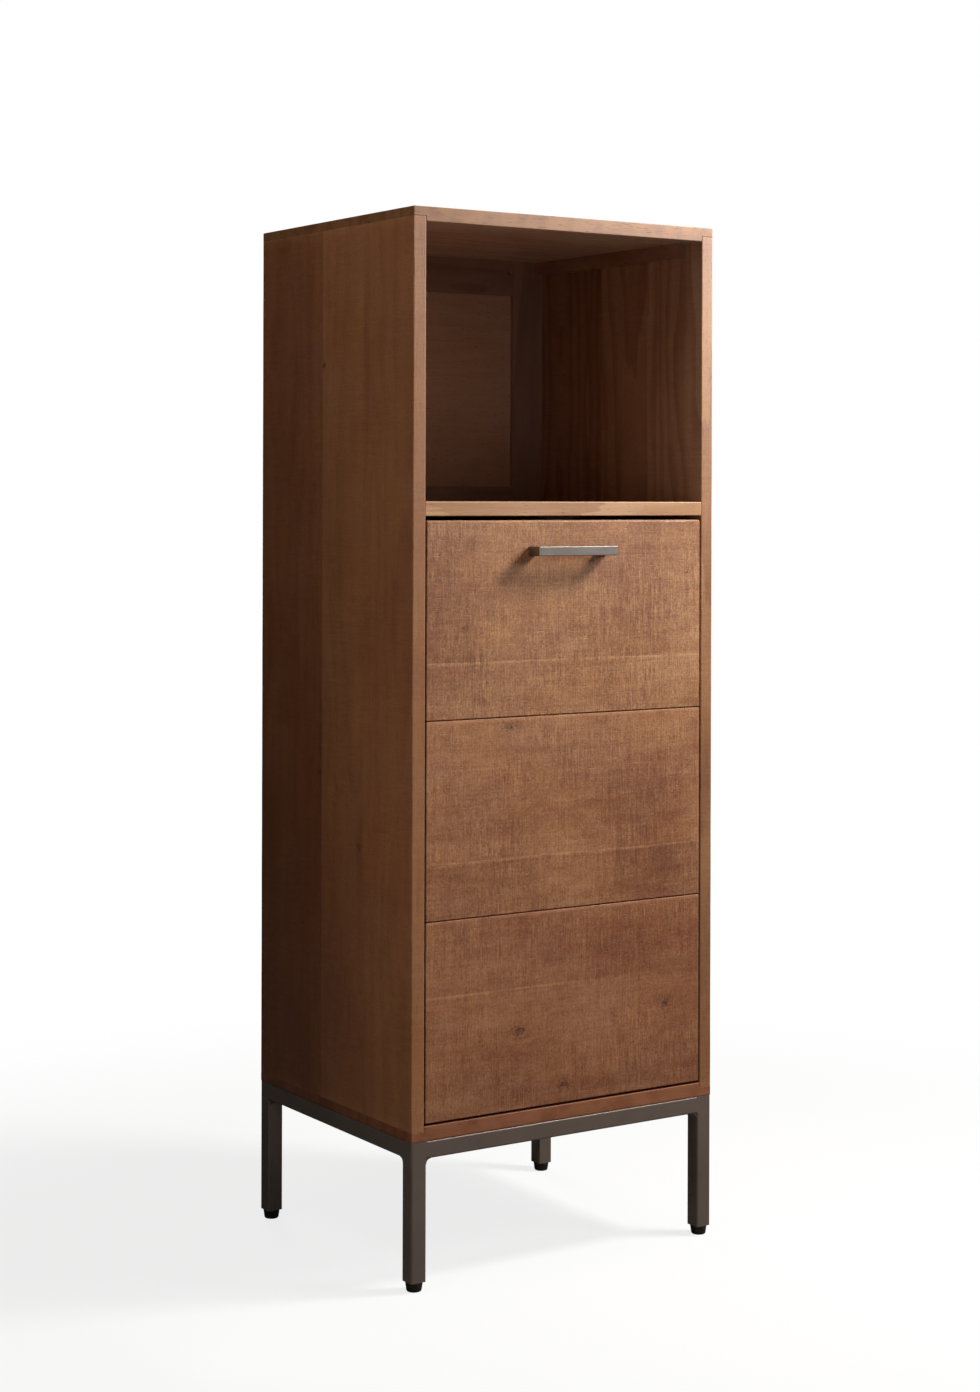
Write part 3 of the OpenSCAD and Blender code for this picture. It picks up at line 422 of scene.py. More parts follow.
def wood(name, along, across, colours, joints=(), *, seed, steps, figure, saw=0.0, bands=0.0,
         clouds=0.5, rub=0.55, shifts=(), streaks=(), knots=(), seams=(), painted_light_tints=(), painted_shades=()):
    """Boards glued edge to edge, with their grain along one axis and their joints across another.

    Tone is a sum that a ramp turns into one of three colours: each board's own tone, as strong as steps
    says, and the shifts up to it, clouds, late wood as strong as figure says, painted shades (along,
    across, reach along, reach across, strength), which are soft clouds of painted shade and painted
    light and in places the wood's own tone, bands, fibres or saw marks, and streaks (place, width, from,
    to, strength). Then come the painted light tints (axis, way, colour), which multiply the faces that
    look that way to paint them lighter or darker as light would, pores, knots (along, across, radius,
    strength), and seams, each the place of a dark crack with a pale line below it that is a painted
    highlight. Worn edges show bare wood, as much as rub says."""
    material, g = new_material(name)
    b = Boards(g, along, across, joints, shifts, seed)
    late = late_wood(b, knots)
    fibre, cloud = b.noise("fibre"), b.noise("cloud")
    pore = b.noise("fleck").ease(0.63, 0.74)
    tone = (0.5 + (b.own - 0.5) * (BOARD_TONE * steps) + (cloud - 0.5) * (CLOUD_TONE * clouds)
            - (late - 0.25) * (LATE_TONE * figure)) + b.lighter
    # Painted shade and painted light: soft clouds that darken or lighten the tone
    for row in painted_shades:
        tone = tone - painted_shade(b, cloud, *row)
    height = fibre * 0.5 - pore * 0.6 - late * 0.15
    if bands:
        tone = tone + (b.noise("band") - 0.5) * (BAND_TONE * bands)
    if saw:
        scratch, pore, relief = saw_scratches(b, fibre, pore, saw)
        tone, height = tone + scratch, height + relief
    else:
        tone = tone + (fibre - 0.5) * FIBRE_TONE
    for row in streaks:
        tone = tone + streak(b, *row)

    colour = g.add(
        "ValToRGB", {"stops": list(zip(STOPS, colours)), "blend": "B_SPLINE"}, {0: tone})
    hue = b.noise("hue", g.vector(b.a2, b.c2 + 3.0, b.d)).ease(0.35, 0.65)
    colour = g.mix(1.0, colour, g.mix(hue, WARM, COOL), "MULTIPLY")
    # Painted light: each tint multiplies the colour of the faces that look its way, making them lighter
    # or darker as light would
    facing = dict(zip("xyz", g.facing())) if painted_light_tints else {}
    for axis, way, tint in painted_light_tints:
        colour = g.mix((facing[axis] * way) > 0.5, colour, g.mix(1.0, colour, tint, "MULTIPLY"))
    dark = pore * PORE_DARK
    for row in knots:
        dark = dark + knot(b, *row)
    colour = g.mix(dark.below(MOST_DARK), colour, scaled(colours[0], DARK_SHARE))
    crack = 0.0
    for place in seams:
        crack = b.c.bell(place - CRACK_LOW, CRACK_W) + crack
        # Painted highlight: a pale line just below each seam, on the lower plank where its arris would
        # catch the light
        rubbed_and_highlight = b.c.bell(place - HIGHLIGHT_LOW, HIGHLIGHT_W) * b.noise("rubbed_and_highlight").ease(0.2, 0.6)
        colour = g.mix(rubbed_and_highlight * 0.42, colour, scaled(colours[2], 1.2))
    if seams:
        colour = g.mix(crack * 0.93, colour, scaled(colours[0], CRACK_SHARE))
        dark = crack + dark
    bare = g.worn() * b.noise("bare").ease(0.25, 0.65) * (1 - dark).above(0.0)
    colour = g.mix((bare * rub).below(0.9), colour, scaled(colours[2], 1.25))
    rough = WOOD_GLOSS + (fibre - 0.5) * 0.16 + pore * 0.2 + bare * 0.08 + crack * 0.4
    if painted_light_tints:
        rough = rough + facing["z"].ease(0.5, 0.9) * 0.42
    g.surface(colour, rough, height, WOOD_RELIEF, Specular_IOR_Level=0.5, Metallic=crack * 0.9)
    return material


# Metal, plastic and cloth


def coated_steel(name, colour):
    """Satin powder coat on steel: a fine orange-peel relief and a slight cloudiness of its colour."""
    material, g = new_material(name)
    place = g.place()
    peel = g.noise(place, (900, 900, 900), 2.0)
    cloud = g.noise(place, (14, 14, 14), 3.0)
    speck = g.noise(place, (2600, 2600, 2600), 0.0).ease(0.62, 0.75)
    tone = (cloud * 0.5 + speck * 0.2 + g.worn() * 0.25).below(1.0)
    base = g.mix(tone, scaled(colour, 0.82), scaled(colour, 1.28))
    rough = 0.32 + (cloud - 0.5) * 0.16 + (peel - 0.5) * 0.08
    g.surface(base, rough, peel, 0.02 * MM, Metallic=0.35, Specular_IOR_Level=0.4)
    return material


def brushed(name, colour, along, gloss, depth=1.0, top=1.0):
    """Metal brushed along one axis: fine scratches are noise drawn out along it. Where top is under 1,
    faces that look up are painted darker, a painted shade that keeps that share of the colour, and are
    duller."""
    material, g = new_material(name)
    place = g.place()
    scales = tuple(22 if axis == along else 2400 for axis in "xyz")
    scratch = g.noise(place, scales, 3.0, 0.7)
    cloud = g.noise(place, (60, 60, 60), 2.0)
    base = g.mix(scratch * 0.7 + cloud * 0.3, scaled(colour, 0.80), scaled(colour, 1.18))
    rough = gloss + (scratch - 0.5) * 0.26 + (cloud - 0.5) * 0.12
    # Painted shade on the faces that look up
    if top < 1.0:
        up = g.facing()[2].ease(0.3, 0.9)
        base = g.mix(up, base, scaled(colour, top))
        rough = rough + up * 0.25
    g.surface(base, rough, scratch, 0.012 * MM * depth, Metallic=1.0)
    return material


def moulded(name, colour, gloss):
    """Moulded plastic with a fine spark-eroded grain and a little dust in it."""
    material, g = new_material(name)
    place = g.place()
    grain = g.noise(place, (1500, 1500, 1500), 1.0)
    dust = g.noise(place, (50, 50, 50), 3.0).ease(0.45, 0.75)
    base = g.mix(dust * 0.35, colour, tuple(min(1.0, v * 1.7 + 0.004) for v in colour))
    rough = gloss + (grain - 0.5) * 0.10 + dust * 0.12
    g.surface(base, rough, grain, 0.03 * MM, Specular_IOR_Level=0.35)
    return material


# Width of two threads of the linen side by side
WEAVE = 1.15 * MM


def linen(name, colour):
    """Plain weave on the cloth's own map, which is in metres: warp and weft are two crossed sine waves
    that take turns on top, and slubs are noise drawn out along each."""
    material, g = new_material(name)
    u, v, _ = g.xyz(g.add("UVMap", {"uv_map": "cloth"}))
    turn = 2 * math.pi / WEAVE
    flat = g.vector(u, v, 0.0)
    slub_u = g.noise(flat, (30, 900, 1), 2.0)
    slub_v = g.noise(flat, (900, 30, 1), 2.0)
    warp = ((u + (slub_v - 0.5) * (0.4 * WEAVE)) * turn).sin()
    weft = ((v + (slub_u - 0.5) * (0.4 * WEAVE)) * turn).sin()
    over = (u * (turn / 2)).sin() * (v * (turn / 2)).sin() > 0.0
    thread = abs(warp) * over + abs(weft) * (1 - over)
    thick = slub_u * over + slub_v * (1 - over)
    cloud = g.noise(flat, (9, 9, 1), 3.0)
    tone = (thread * 0.35 + (thick - 0.5) * 0.8 + cloud * 0.4 + 0.1).below(1.0).above(0.0)
    base = g.mix(tone, scaled(colour, 0.62), scaled(colour, 1.12))
    g.surface(base, 0.88 - thread * 0.08, thread + thick, 0.22 * MM,
              Specular_IOR_Level=0.2, Sheen_Weight=0.25, Sheen_Roughness=0.4)
    return material


# Meshes


def wander(places, seed, period, rows=1):
    """Slow noise of 0 to 1 along a line: five sine waves of random phase, one row for each seam."""
    draw = np.random.default_rng(seed)
    waves = 2 * np.pi / (period * draw.uniform(0.35, 1.6, (rows, 5)))
    phase = draw.uniform(0, 2 * np.pi, (rows, 5))
    total = np.sin(np.asarray(places)[:, None, None] * waves + phase).mean(2)
    return np.clip(0.5 + 0.9 * total, 0, 1)


def grid_faces(rows, columns, first=0):
    """Quads between neighbouring rows of points, closed round each row."""
    r, c = np.meshgrid(np.arange(rows - 1), np.arange(columns), indexing="ij")
    n = (c + 1) % columns
    near, far = r * columns, (r + 1) * columns
    quads = np.stack([near + c, near + n, far + n, far + c], -1)
    return quads.reshape(-1, 4) + first


def ring_solid(rings, first=0):
    """Points, side faces and two end faces of a stack of rings of points, numbered from first."""
    rows, columns = rings.shape[:2]
    last = first + (rows - 1) * columns
    ends = [list(range(first, first + columns))[::-1], list(range(last, last + columns))]
    return rings.reshape(-1, 3), grid_faces(rows, columns, first), ends


def make_piece(name, points, quads, caps, *, material, body, slot, stands_for=(), smooth=32,
               worn=None, uv=None):
    """Turns points and faces into a piece of the object that rides on a body. Its faces look outwards:
    where they enclose a negative volume they are all turned round. Cloth, which has a map, isn't
    closed, so its faces stay as they are."""
    points = np.asarray(points, float)
    corner = points[quads]
    volume = np.einsum("ij,ij->i", corner[:, 0], np.cross(corner[:, 1], corner[:, 2])).sum()
    volume += np.einsum("ij,ij->i", corner[:, 0], np.cross(corner[:, 2], corner[:, 3])).sum()
    for cap in caps:
        ring = points[cap]
        volume += (np.cross(ring[1:-1], ring[2:]) @ ring[0]).sum()
    faces = np.asarray(quads).tolist() + list(caps)
    if volume < 0 and uv is None:
        faces = [face[::-1] for face in faces]
    mesh = bpy.data.meshes.new(name)
    mesh.from_pydata(points.tolist(), [], faces)
    if worn is not None:
        attribute = mesh.attributes.new("worn", "FLOAT", "POINT")
        attribute.data.foreach_set("value", np.asarray(worn, np.float32).ravel())
    if uv is not None:
        corners = np.empty(len(mesh.loops), np.int32)
        mesh.loops.foreach_get("vertex_index", corners)
        layer = mesh.uv_layers.new(name="cloth")
        layer.data.foreach_set("uv", np.asarray(uv, np.float32)[corners].ravel())
    mesh.polygons.foreach_set("use_smooth", np.ones(len(mesh.polygons), bool))
    mesh.set_sharp_from_angle(angle=math.radians(smooth))
    mesh.update()
    mesh.validate()
    piece = bpy.data.objects.new(name, mesh)
    bpy.context.scene.collection.objects.link(piece)
    mesh.materials.append(material)
    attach(piece, body)
    if stands_for:
        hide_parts(*stands_for)
    return piece


# Width of the flat strip that stays beside each rounded edge, so that its shading doesn't spread
HOLD = 0.7 * MM
# An outer arc's radius where the outline has moved inwards by more than the radius it had
LEAST_R = 0.08 * MM


class Outline:
    """A closed outline of (u, v, radius) corners, anticlockwise, that can be moved inwards.

    A corner is an arc that turns from the normal of the edge before it to that of the edge after it.
    Moved inwards, an outer arc's radius shrinks and an inner arc's grows by the same amount. Each edge
    has a point beside each of its arcs, and where a step is given more points between them."""

    def __init__(self, corners, bend, step):
        table = np.array(corners, float)
        self.at, self.radius, self.bend = table[:, :2], table[:, 2], bend
        edge = np.roll(self.at, -1, 0) - self.at
        length = np.linalg.norm(edge, axis=1)
        self.way = edge / length[:, None]
        self.normal = np.stack([self.way[:, 1], -self.way[:, 0]], 1)
        self.before = np.roll(self.normal, 1, 0)
        way0 = np.roll(self.way, 1, 0)
        self.outer = np.sign(way0[:, 0] * self.way[:, 1] - way0[:, 1] * self.way[:, 0])
        self.angle = np.arccos(np.clip((self.before * self.normal).sum(1), -1, 1))
        self.shares = []
        reach = self.radius * np.tan(self.angle / 2)
        for i, whole in enumerate(length):
            straight = whole - reach[i] - reach[(i + 1) % len(length)]
            if straight < 3 * HOLD:
                self.shares.append(np.array([0.5]) if straight > HOLD else np.array([]))
                continue
            side = HOLD / straight
            inner = [side, 1 - side]
            if step and straight > 2 * step:
                inner = np.linspace(side, 1 - side, int(straight / step) + 1)
            self.shares.append(np.array(inner))

    def ring(self, inset=0.0):
        """Points, normals and a mark of 1 on the arcs, with the outline moved inwards."""
        mitre = (self.before + self.normal) / (1 + (self.before * self.normal).sum(1))[:, None]
        corner = self.at - inset * mitre
        least = np.minimum(self.radius, LEAST_R)
        radius = np.where(self.outer > 0, np.maximum(self.radius - inset, least),
                          self.radius + inset)
        s = np.linspace(0, 1, self.bend + 1)
        turn = self.angle[:, None]
        sweep = (np.sin((1 - s) * turn)[..., None] * self.before[:, None]
                 + np.sin(s * turn)[..., None] * self.normal[:, None]) / np.sin(turn)[..., None]
        way0 = np.roll(self.way, 1, 0)
        start = corner - (radius * np.tan(self.angle / 2))[:, None] * way0
        signed = (self.outer * radius)[:, None]
        arc = (start - signed * self.before)[:, None] + signed[:, None] * sweep
        points, normals, marks = [], [], []
        for i, share in enumerate(self.shares):
            nxt = (i + 1) % len(self.shares)
            points += [arc[i], arc[i, -1] + share[:, None] * (arc[nxt, 0] - arc[i, -1])]
            normals += [sweep[i], np.repeat(self.normal[i:i + 1], len(share), 0)]
            bump = np.sin(np.pi * s) if self.outer[i] > 0 else 0 * s
            marks += [bump, 0 * share]
        return np.concatenate(points), np.concatenate(normals), np.concatenate(marks)


# For a board along each axis, the axes of its outline and then its own
AXES = {"x": (1, 2, 0), "y": (0, 2, 1), "z": (0, 1, 2)}
# Periods of the slow and the quick noise by which arrises are worn, and the width of worn ends
SLOW_WEAR, QUICK_WEAR, END_WEAR = 160 * MM, 21 * MM, 1.2 * MM


def sweep_board(name, corners, axis, low, high, seed, end_r=0.8 * MM, step=12 * MM, side_step=None,
                dent=0.22 * MM, bend=4, carve=None, **made):
    """A board: an outline carried along an axis from low to high, with rounded ends.

    Near each end the outline moves inwards along a quarter circle of radius end_r, and a further ring
    on the end face keeps that face flat. Along its arrises the board is worn by up to dent, by slow
    noise, and carve gives a further depth for each point."""
    outline = Outline(corners, bend, side_step)
    phi = np.linspace(0, np.pi / 2, bend + 1)
    near = np.concatenate([[0], end_r - end_r * np.cos(phi), [end_r + HOLD]])
    inset = np.concatenate([[end_r + HOLD], end_r - end_r * np.sin(phi), [0]])
    count = max(2, int(round((high - low - 2 * (end_r + HOLD)) / step)))
    middle = np.linspace(low + near[-1], high - near[-1], count + 1)[1:-1]
    along = np.concatenate([low + near, middle, (high - near)[::-1]])
    insets = np.concatenate([inset, 0 * middle, inset[::-1]])
    flat = np.stack([outline.ring(i)[0] for i in insets])
    _, normals, marks = outline.ring()
    seams = np.cumsum((marks > 0) & (np.roll(marks, 1) == 0))
    noise = wander(along, seed, SLOW_WEAR, seams.max() + 1)[:, seams]
    quick = wander(along, seed + 7, QUICK_WEAR, seams.max() + 1)[:, seams]
    worn = marks * (0.25 + 0.75 * noise)
    depth = dent * marks * noise * (0.6 + 0.4 * quick)
    if carve is not None:
        depth = depth + carve(along, flat, normals)
    flat = flat - depth[..., None] * normals
    points = np.empty((*flat.shape[:2], 3))
    u, v, w = AXES[axis]
    points[..., u], points[..., v] = flat[..., 0], flat[..., 1]
    points[..., w] = along[:, None]
    ends = np.exp(-((np.minimum(along - low, high - along)) / END_WEAR) ** 2)
    worn = np.clip(worn + 0.6 * ends[:, None] * (marks.max() > 0), 0, 1)
    make_piece(name, *ring_solid(points), worn=worn, **made)


def box_outline(u0, v0, u1, v1, r):
    """The corners of a rectangle, each rounded by r."""
    return [(u0, v0, r), (u1, v0, r), (u1, v1, r), (u0, v1, r)]


def turned(x, y, radius, height, around):
    """A turned part: rings round the upright axis at x and y, with a radius for each ring or for each
    point of it, and a height for each ring, closed at both ends."""
    angle = np.linspace(0, 2 * np.pi, around, endpoint=False)
    radius = np.broadcast_to(radius, (len(height), around))
    level = np.repeat(np.reshape(height, (-1, 1)), around, 1)
    return ring_solid(np.stack([x + radius * np.cos(angle), y + radius * np.sin(angle), level], -1))


# Case

# Depth of the rebates for the sides and for the back, and the back's thickness
SIDE_SEAT, BACK_SEAT, BACK_T = 6 * MM, 9 * MM, 18 * MM
# Radii of the boards' outer arrises, of their front edges, of the edges and inner corners of their
# rebates, and of their sawn ends
OUTER_R, EDGE_R, SEAT_R, NOOK_R, BUTT_R = 0.9 * MM, 0.8 * MM, 0.4 * MM, 0.2 * MM, 0.25 * MM
# Space between the rows of points across a wide board
WIDE_STEP = 14 * MM


def make_case():
    """Sides with a rebate for the back, top and bottom panels with rebates for the sides, and the
    shelf between the sides."""
    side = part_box("right_side")
    top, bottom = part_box("top_panel"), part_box("bottom_panel")
    inner, outer, front, back = side[0].x, side[1].x, side[0].y, side[1].y
    seat_x, seat_y = inner + BACK_SEAT, back - BACK_T
    section = [
        (inner, front, EDGE_R), (outer, front, OUTER_R), (outer, back, OUTER_R),
        (seat_x, back, SEAT_R), (seat_x, seat_y, NOOK_R), (inner, seat_y, SEAT_R)]
    mirrored = [(-u, v, r) for u, v, r in section][::-1]
    for name, outline, seed, wood_finish in (
            ("right_side", section, 11, RIGHT_WOOD), ("left_side", mirrored, 12, LEFT_WOOD)):
        sweep_board(
            name + "_board", outline, "z", side[0].z, side[1].z, seed, end_r=BUTT_R,
            material=wood_finish, body="case", stands_for=(name,), slot="side_wood")
    for name, box, up in (("top_panel", top, 1), ("bottom_panel", bottom, -1)):
        inside, outside = (box[0].z, box[1].z) if up > 0 else (box[1].z, box[0].z)
        seat = inside + up * SIDE_SEAT
        outline = [
            (-inner, inside, SEAT_R), (inner, inside, SEAT_R), (inner, seat, NOOK_R),
            (outer, seat, BUTT_R), (outer, outside, OUTER_R), (-outer, outside, OUTER_R),
            (-outer, seat, BUTT_R), (-inner, seat, NOOK_R)]
        if up < 0:
            outline = outline[::-1]
        sweep_board(
            name + "_board", outline, "y", front, back, 21 + up, side_step=WIDE_STEP,
            material=TOP_WOOD if up > 0 else BOTTOM_WOOD, body="case", stands_for=(name,),
            slot="top_wood")
    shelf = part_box("middle_shelf")
    sweep_board(
        "middle_shelf_board", box_outline(front, shelf[0].z, seat_y, shelf[1].z, EDGE_R), "x",
        -inner, inner, 31, end_r=NOOK_R, side_step=WIDE_STEP, material=SHELF_WOOD, body="case",
        stands_for=("middle_shelf",), slot="top_wood")


# Door

# Bevels of the planks, and of the door's upper edge
PLANK_BEVEL, UPPER_BEVEL = 1 * MM, 2 * MM
# Thickness, height and play of the tongues, and the gap that shows between two planks
TONGUE_T, TONGUE_H, TONGUE_PLAY, JOINT_GAP = 6 * MM, 6 * MM, 0.2 * MM, 0.3 * MM
# Radii of a plank's front bevels, of its back arrises, of its joint's inner edges and of its tongue
BEVEL_R, REAR_R, FINE_R, TONGUE_R = 0.35 * MM, 0.6 * MM, 0.3 * MM, 0.5 * MM
# Depth of the saw's marks, the least and greatest space between them, and how many are drawn
SAW_DEPTH, SAW_NEAR, SAW_FAR, SAW_COUNT = 0.13 * MM, 1.1 * MM, 5.0 * MM, 190


def saw_marks(seed):
    """Depth of the saw's marks in a plank's face: narrow grooves across the grain, each at its own
    place with its own lean, depth and reach up the plank, and a slow hollow between them."""
    draw = np.random.default_rng(seed)

    def depth(along, flat, normals):
        face = normals[:, 0] < -0.99
        up = flat[0][face][:, 1]
        gaps = draw.uniform(SAW_NEAR, SAW_FAR, SAW_COUNT)
        at = along[0] + np.cumsum(gaps)
        at = at[at < along[-1]]
        lean = draw.normal(0, 0.006, len(at))
        power = draw.uniform(0.15, 1.0, len(at)) ** 1.6
        wide = draw.uniform(0.45, 1.0, len(at)) * MM
        wave = draw.uniform(30, 210, len(at))
        phase = draw.uniform(0, 2 * np.pi, len(at))
        total = np.zeros((len(along), len(up)))
        for x, slope, deep, width, k, p in zip(at, lean, power, wide, wave, phase):
            near = np.abs(along - x) < 6 * MM
            off = along[near, None] - x - slope * (up - up.mean())
            reach = np.clip(0.1 + 0.9 * np.sin(k * up + p), 0, 1)
            total[near] += deep * reach * np.exp(-(off / width) ** 2)
        slow = wander(along, seed + 3, 0.03)[:, 0, None] * 0.5
        edge = np.clip(np.minimum(along - along[0], along[-1] - along) / (2 * MM), 0, 1)[:, None]
        result = np.zeros((len(along), flat.shape[1]))
        result[:, face] = SAW_DEPTH * (total + slow) * edge
        return result

    return depth


def make_planks():
    """Three planks with sawn faces and bevelled joints: a groove in the lower edge of the upper two
    takes the tongue on the upper edge of the plank below."""
    for i, (name, material) in enumerate((
            ("door_bottom_plank", DOOR_BOTTOM_WOOD), ("door_middle_plank", DOOR_MIDDLE_WOOD),
            ("door_top_plank", DOOR_TOP_WOOD))):
        low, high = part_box(name)
        y0, y1, z0, z1 = low.y, high.y, low.z, high.z
        tongue, groove = i < 2, i > 0
        if tongue:
            z1 -= TONGUE_H + JOINT_GAP
        if groove:
            z0 += JOINT_GAP
        mid, half = (y0 + y1) / 2, TONGUE_T / 2
        upper = PLANK_BEVEL if tongue else UPPER_BEVEL
        outline = [(y0 + PLANK_BEVEL, z0, BEVEL_R)]
        if groove:
            room, roof = half + TONGUE_PLAY, z0 + TONGUE_H + TONGUE_PLAY
            outline += [(mid - room, z0, FINE_R), (mid - room, roof, FINE_R),
                        (mid + room, roof, FINE_R), (mid + room, z0, FINE_R)]
        outline += [(y1, z0, REAR_R), (y1, z1, REAR_R)]
        if tongue:
            outline += [(mid + half, z1, FINE_R), (mid + half, z1 + TONGUE_H, TONGUE_R),
                        (mid - half, z1 + TONGUE_H, TONGUE_R), (mid - half, z1, FINE_R)]
        outline += [(y0 + upper, z1, BEVEL_R), (y0, z1 - upper, BEVEL_R),
                    (y0, z0 + PLANK_BEVEL, BEVEL_R)]
        sweep_board(
            name + "_sawn", outline, "x", low.x, high.x, 41 + i, step=0.75 * MM,
            side_step=5.5 * MM, bend=3, dent=0.18 * MM, carve=saw_marks(51 + i),
            material=material, body="door", stands_for=(name,), slot="door_wood")


# Thickness of the pull's bar and width of its posts
PULL_BAR_T, PULL_POST_W = 7 * MM, 10 * MM
# Radii of the pull's bar, of its inner corners and of its posts where they meet the door
BAR_R, CROOK_R, POST_R = 0.6 * MM, 0.5 * MM, 0.2 * MM


def make_pull():
    """Square bow: its outline seen from above is a bar with two posts, carried up by its height."""
    low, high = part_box("handle")
    left, right, rear = low.x + PULL_POST_W, high.x - PULL_POST_W, low.y + PULL_BAR_T
    outline = [
        (low.x, low.y, BAR_R), (high.x, low.y, BAR_R), (high.x, high.y, POST_R),
        (right, high.y, POST_R), (right, rear, CROOK_R), (left, rear, CROOK_R),
        (left, high.y, POST_R), (low.x, high.y, POST_R)]
    sweep_board("pull_bow", outline, "z", low.z, high.z, 61, end_r=BAR_R, step=2 * MM, dent=0,
                material=PULL_METAL, body="door", stands_for=("handle",), slot="pull_metal")


# Feet

# Pitch and depth of the stem's thread, and the points round a stem and round a foot
THREAD_PITCH, THREAD_DEPTH = 1.25 * MM, 0.65 * MM
STEM_AROUND, FOOT_AROUND = 24, 48
# Radius at the floor, rounding at the floor and at the top, radius of the glide's recess and of the bore
FOOT_R, FOOT_ROUND, BROW_ROUND, GLIDE_R, BORE_R = 9.6 * MM, 2.2 * MM, 0.9 * MM, 5.6 * MM, 4.3 * MM
GLIDE_DEPTH = 0.45 * MM


def make_feet():
    """Each foot is a turned puck, hollow under its glide and with a fine groove below its brow, on a
    stem whose radius follows a helix: it depends on height over pitch less the angle in turns."""
    phi = np.linspace(0, np.pi / 2, 7)
    cos, sin = np.cos(phi), np.sin(phi)
    for name in ("front_left_foot", "front_right_foot", "back_left_foot", "back_right_foot"):
        low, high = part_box(name + "_pad")
        x, y = (low.x + high.x) / 2, (low.y + high.y) / 2
        big, tall = (high.x - low.x) / 2, high.z
        glide = [(0.3 * MM, GLIDE_DEPTH), (GLIDE_R, GLIDE_DEPTH), (GLIDE_R + 0.3 * MM, 0.35 * MM),
                 (GLIDE_R + 0.6 * MM, 0.0)]
        foot = zip(FOOT_R - FOOT_ROUND + FOOT_ROUND * sin, FOOT_ROUND - FOOT_ROUND * cos)
        wall = [(FOOT_R + 0.25 * MM, FOOT_ROUND + 1.4 * MM),
                (FOOT_R + (big - FOOT_R) * 0.72, tall * 0.72), (big - 0.12 * MM, tall - 2.0 * MM),
                (big - 0.45 * MM, tall - 1.8 * MM), (big - 0.45 * MM, tall - 1.5 * MM),
                (big - 0.05 * MM, tall - 1.3 * MM)]
        brow = zip(big - BROW_ROUND + BROW_ROUND * cos, tall - BROW_ROUND + BROW_ROUND * sin)
        bore = [(BORE_R + 0.3 * MM, tall), (BORE_R, tall - 0.3 * MM), (BORE_R, tall - 3 * MM)]
        profile = np.array([*glide, *foot, *wall, *brow, *bore])
        make_piece(name + "_puck", *turned(x, y, profile[:, :1], profile[:, 1], FOOT_AROUND),
                   material=FOOT_PLASTIC, body=name, stands_for=(name + "_pad",),
                   slot="foot_plastic", smooth=40)
        low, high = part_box(name + "_stem")
        start, stop = tall - 2.5 * MM, high.z - 0.8 * MM
        z = np.arange(start, stop, THREAD_PITCH / 6)
        angle = np.linspace(0, 2 * np.pi, STEM_AROUND, endpoint=False)
        turn = (z[:, None] / THREAD_PITCH - angle / (2 * np.pi)) % 1.0
        ridge = np.clip(1.25 - 2.5 * np.abs(turn - 0.5), 0, 1)
        fade = np.clip((stop - z) / (2 * MM), 0, 1)[:, None]
        radius = (high.x - low.x) / 2 - THREAD_DEPTH * (1 - ridge * fade)
        make_piece(name + "_thread", *turned(x, y, radius, z, STEM_AROUND),
                   material=BRIGHT_STEEL, body=name, stands_for=(name + "_stem",),
                   slot="bright_steel", smooth=50)


# Screws


# Points closer than this are the same point
SAME = 0.01 * MM


def solids_of(node):
    """The points of each separate solid in a node: equal points are made one, and the lowest number
    spreads over every triangle until nothing changes."""
    mesh = NODES[node].data
    mesh.calc_loop_triangles()
    points = np.empty(len(mesh.vertices) * 3, np.float32)
    mesh.vertices.foreach_get("co", points)
    corners = np.empty(len(mesh.loop_triangles) * 3, np.int32)
    mesh.loop_triangles.foreach_get("vertices", corners)
    keys, which = np.unique(
        np.round(points.reshape(-1, 3) / SAME).astype(int), axis=0, return_inverse=True)
    tris = which.ravel()[corners].reshape(-1, 3)
    label = np.arange(len(keys))
    while True:
        new = label.copy()
        np.minimum.at(new, tris, label[tris].min(1)[:, None])
        new = new[new]
        if (new == label).all():
            break
        label = new
    return [keys[label == k] * SAME for k in np.unique(label)]


# Reach and half width of a screw's cross recess, as shares of its head's radius
CROSS_ARM, CROSS_HALF = 0.56, 0.15
# A plain screw's points further than this from its face belong to its head's lower edge or its shank
FACE_DEPTH = 0.3 * MM


def cross_outline(arm, half):
    """Thirty-two angles round a screw head that meet the corners of its cross recess, and the cross's
    radius at each: where the ray leaves the arm's end or its side."""
    lean = math.atan2(half, arm)
    first = np.array([0, lean / 2, lean, (lean + math.pi / 4) / 2])
    quarter = np.concatenate([first, [math.pi / 4], (math.pi / 2 - first[1:])[::-1]])
    angle = np.concatenate([quarter + k * math.pi / 2 for k in range(4)])
    near = np.abs((angle + math.pi / 4) % (math.pi / 2) - math.pi / 4)
    return angle, np.minimum(arm / np.cos(near), half / np.maximum(np.sin(near), 1e-6))


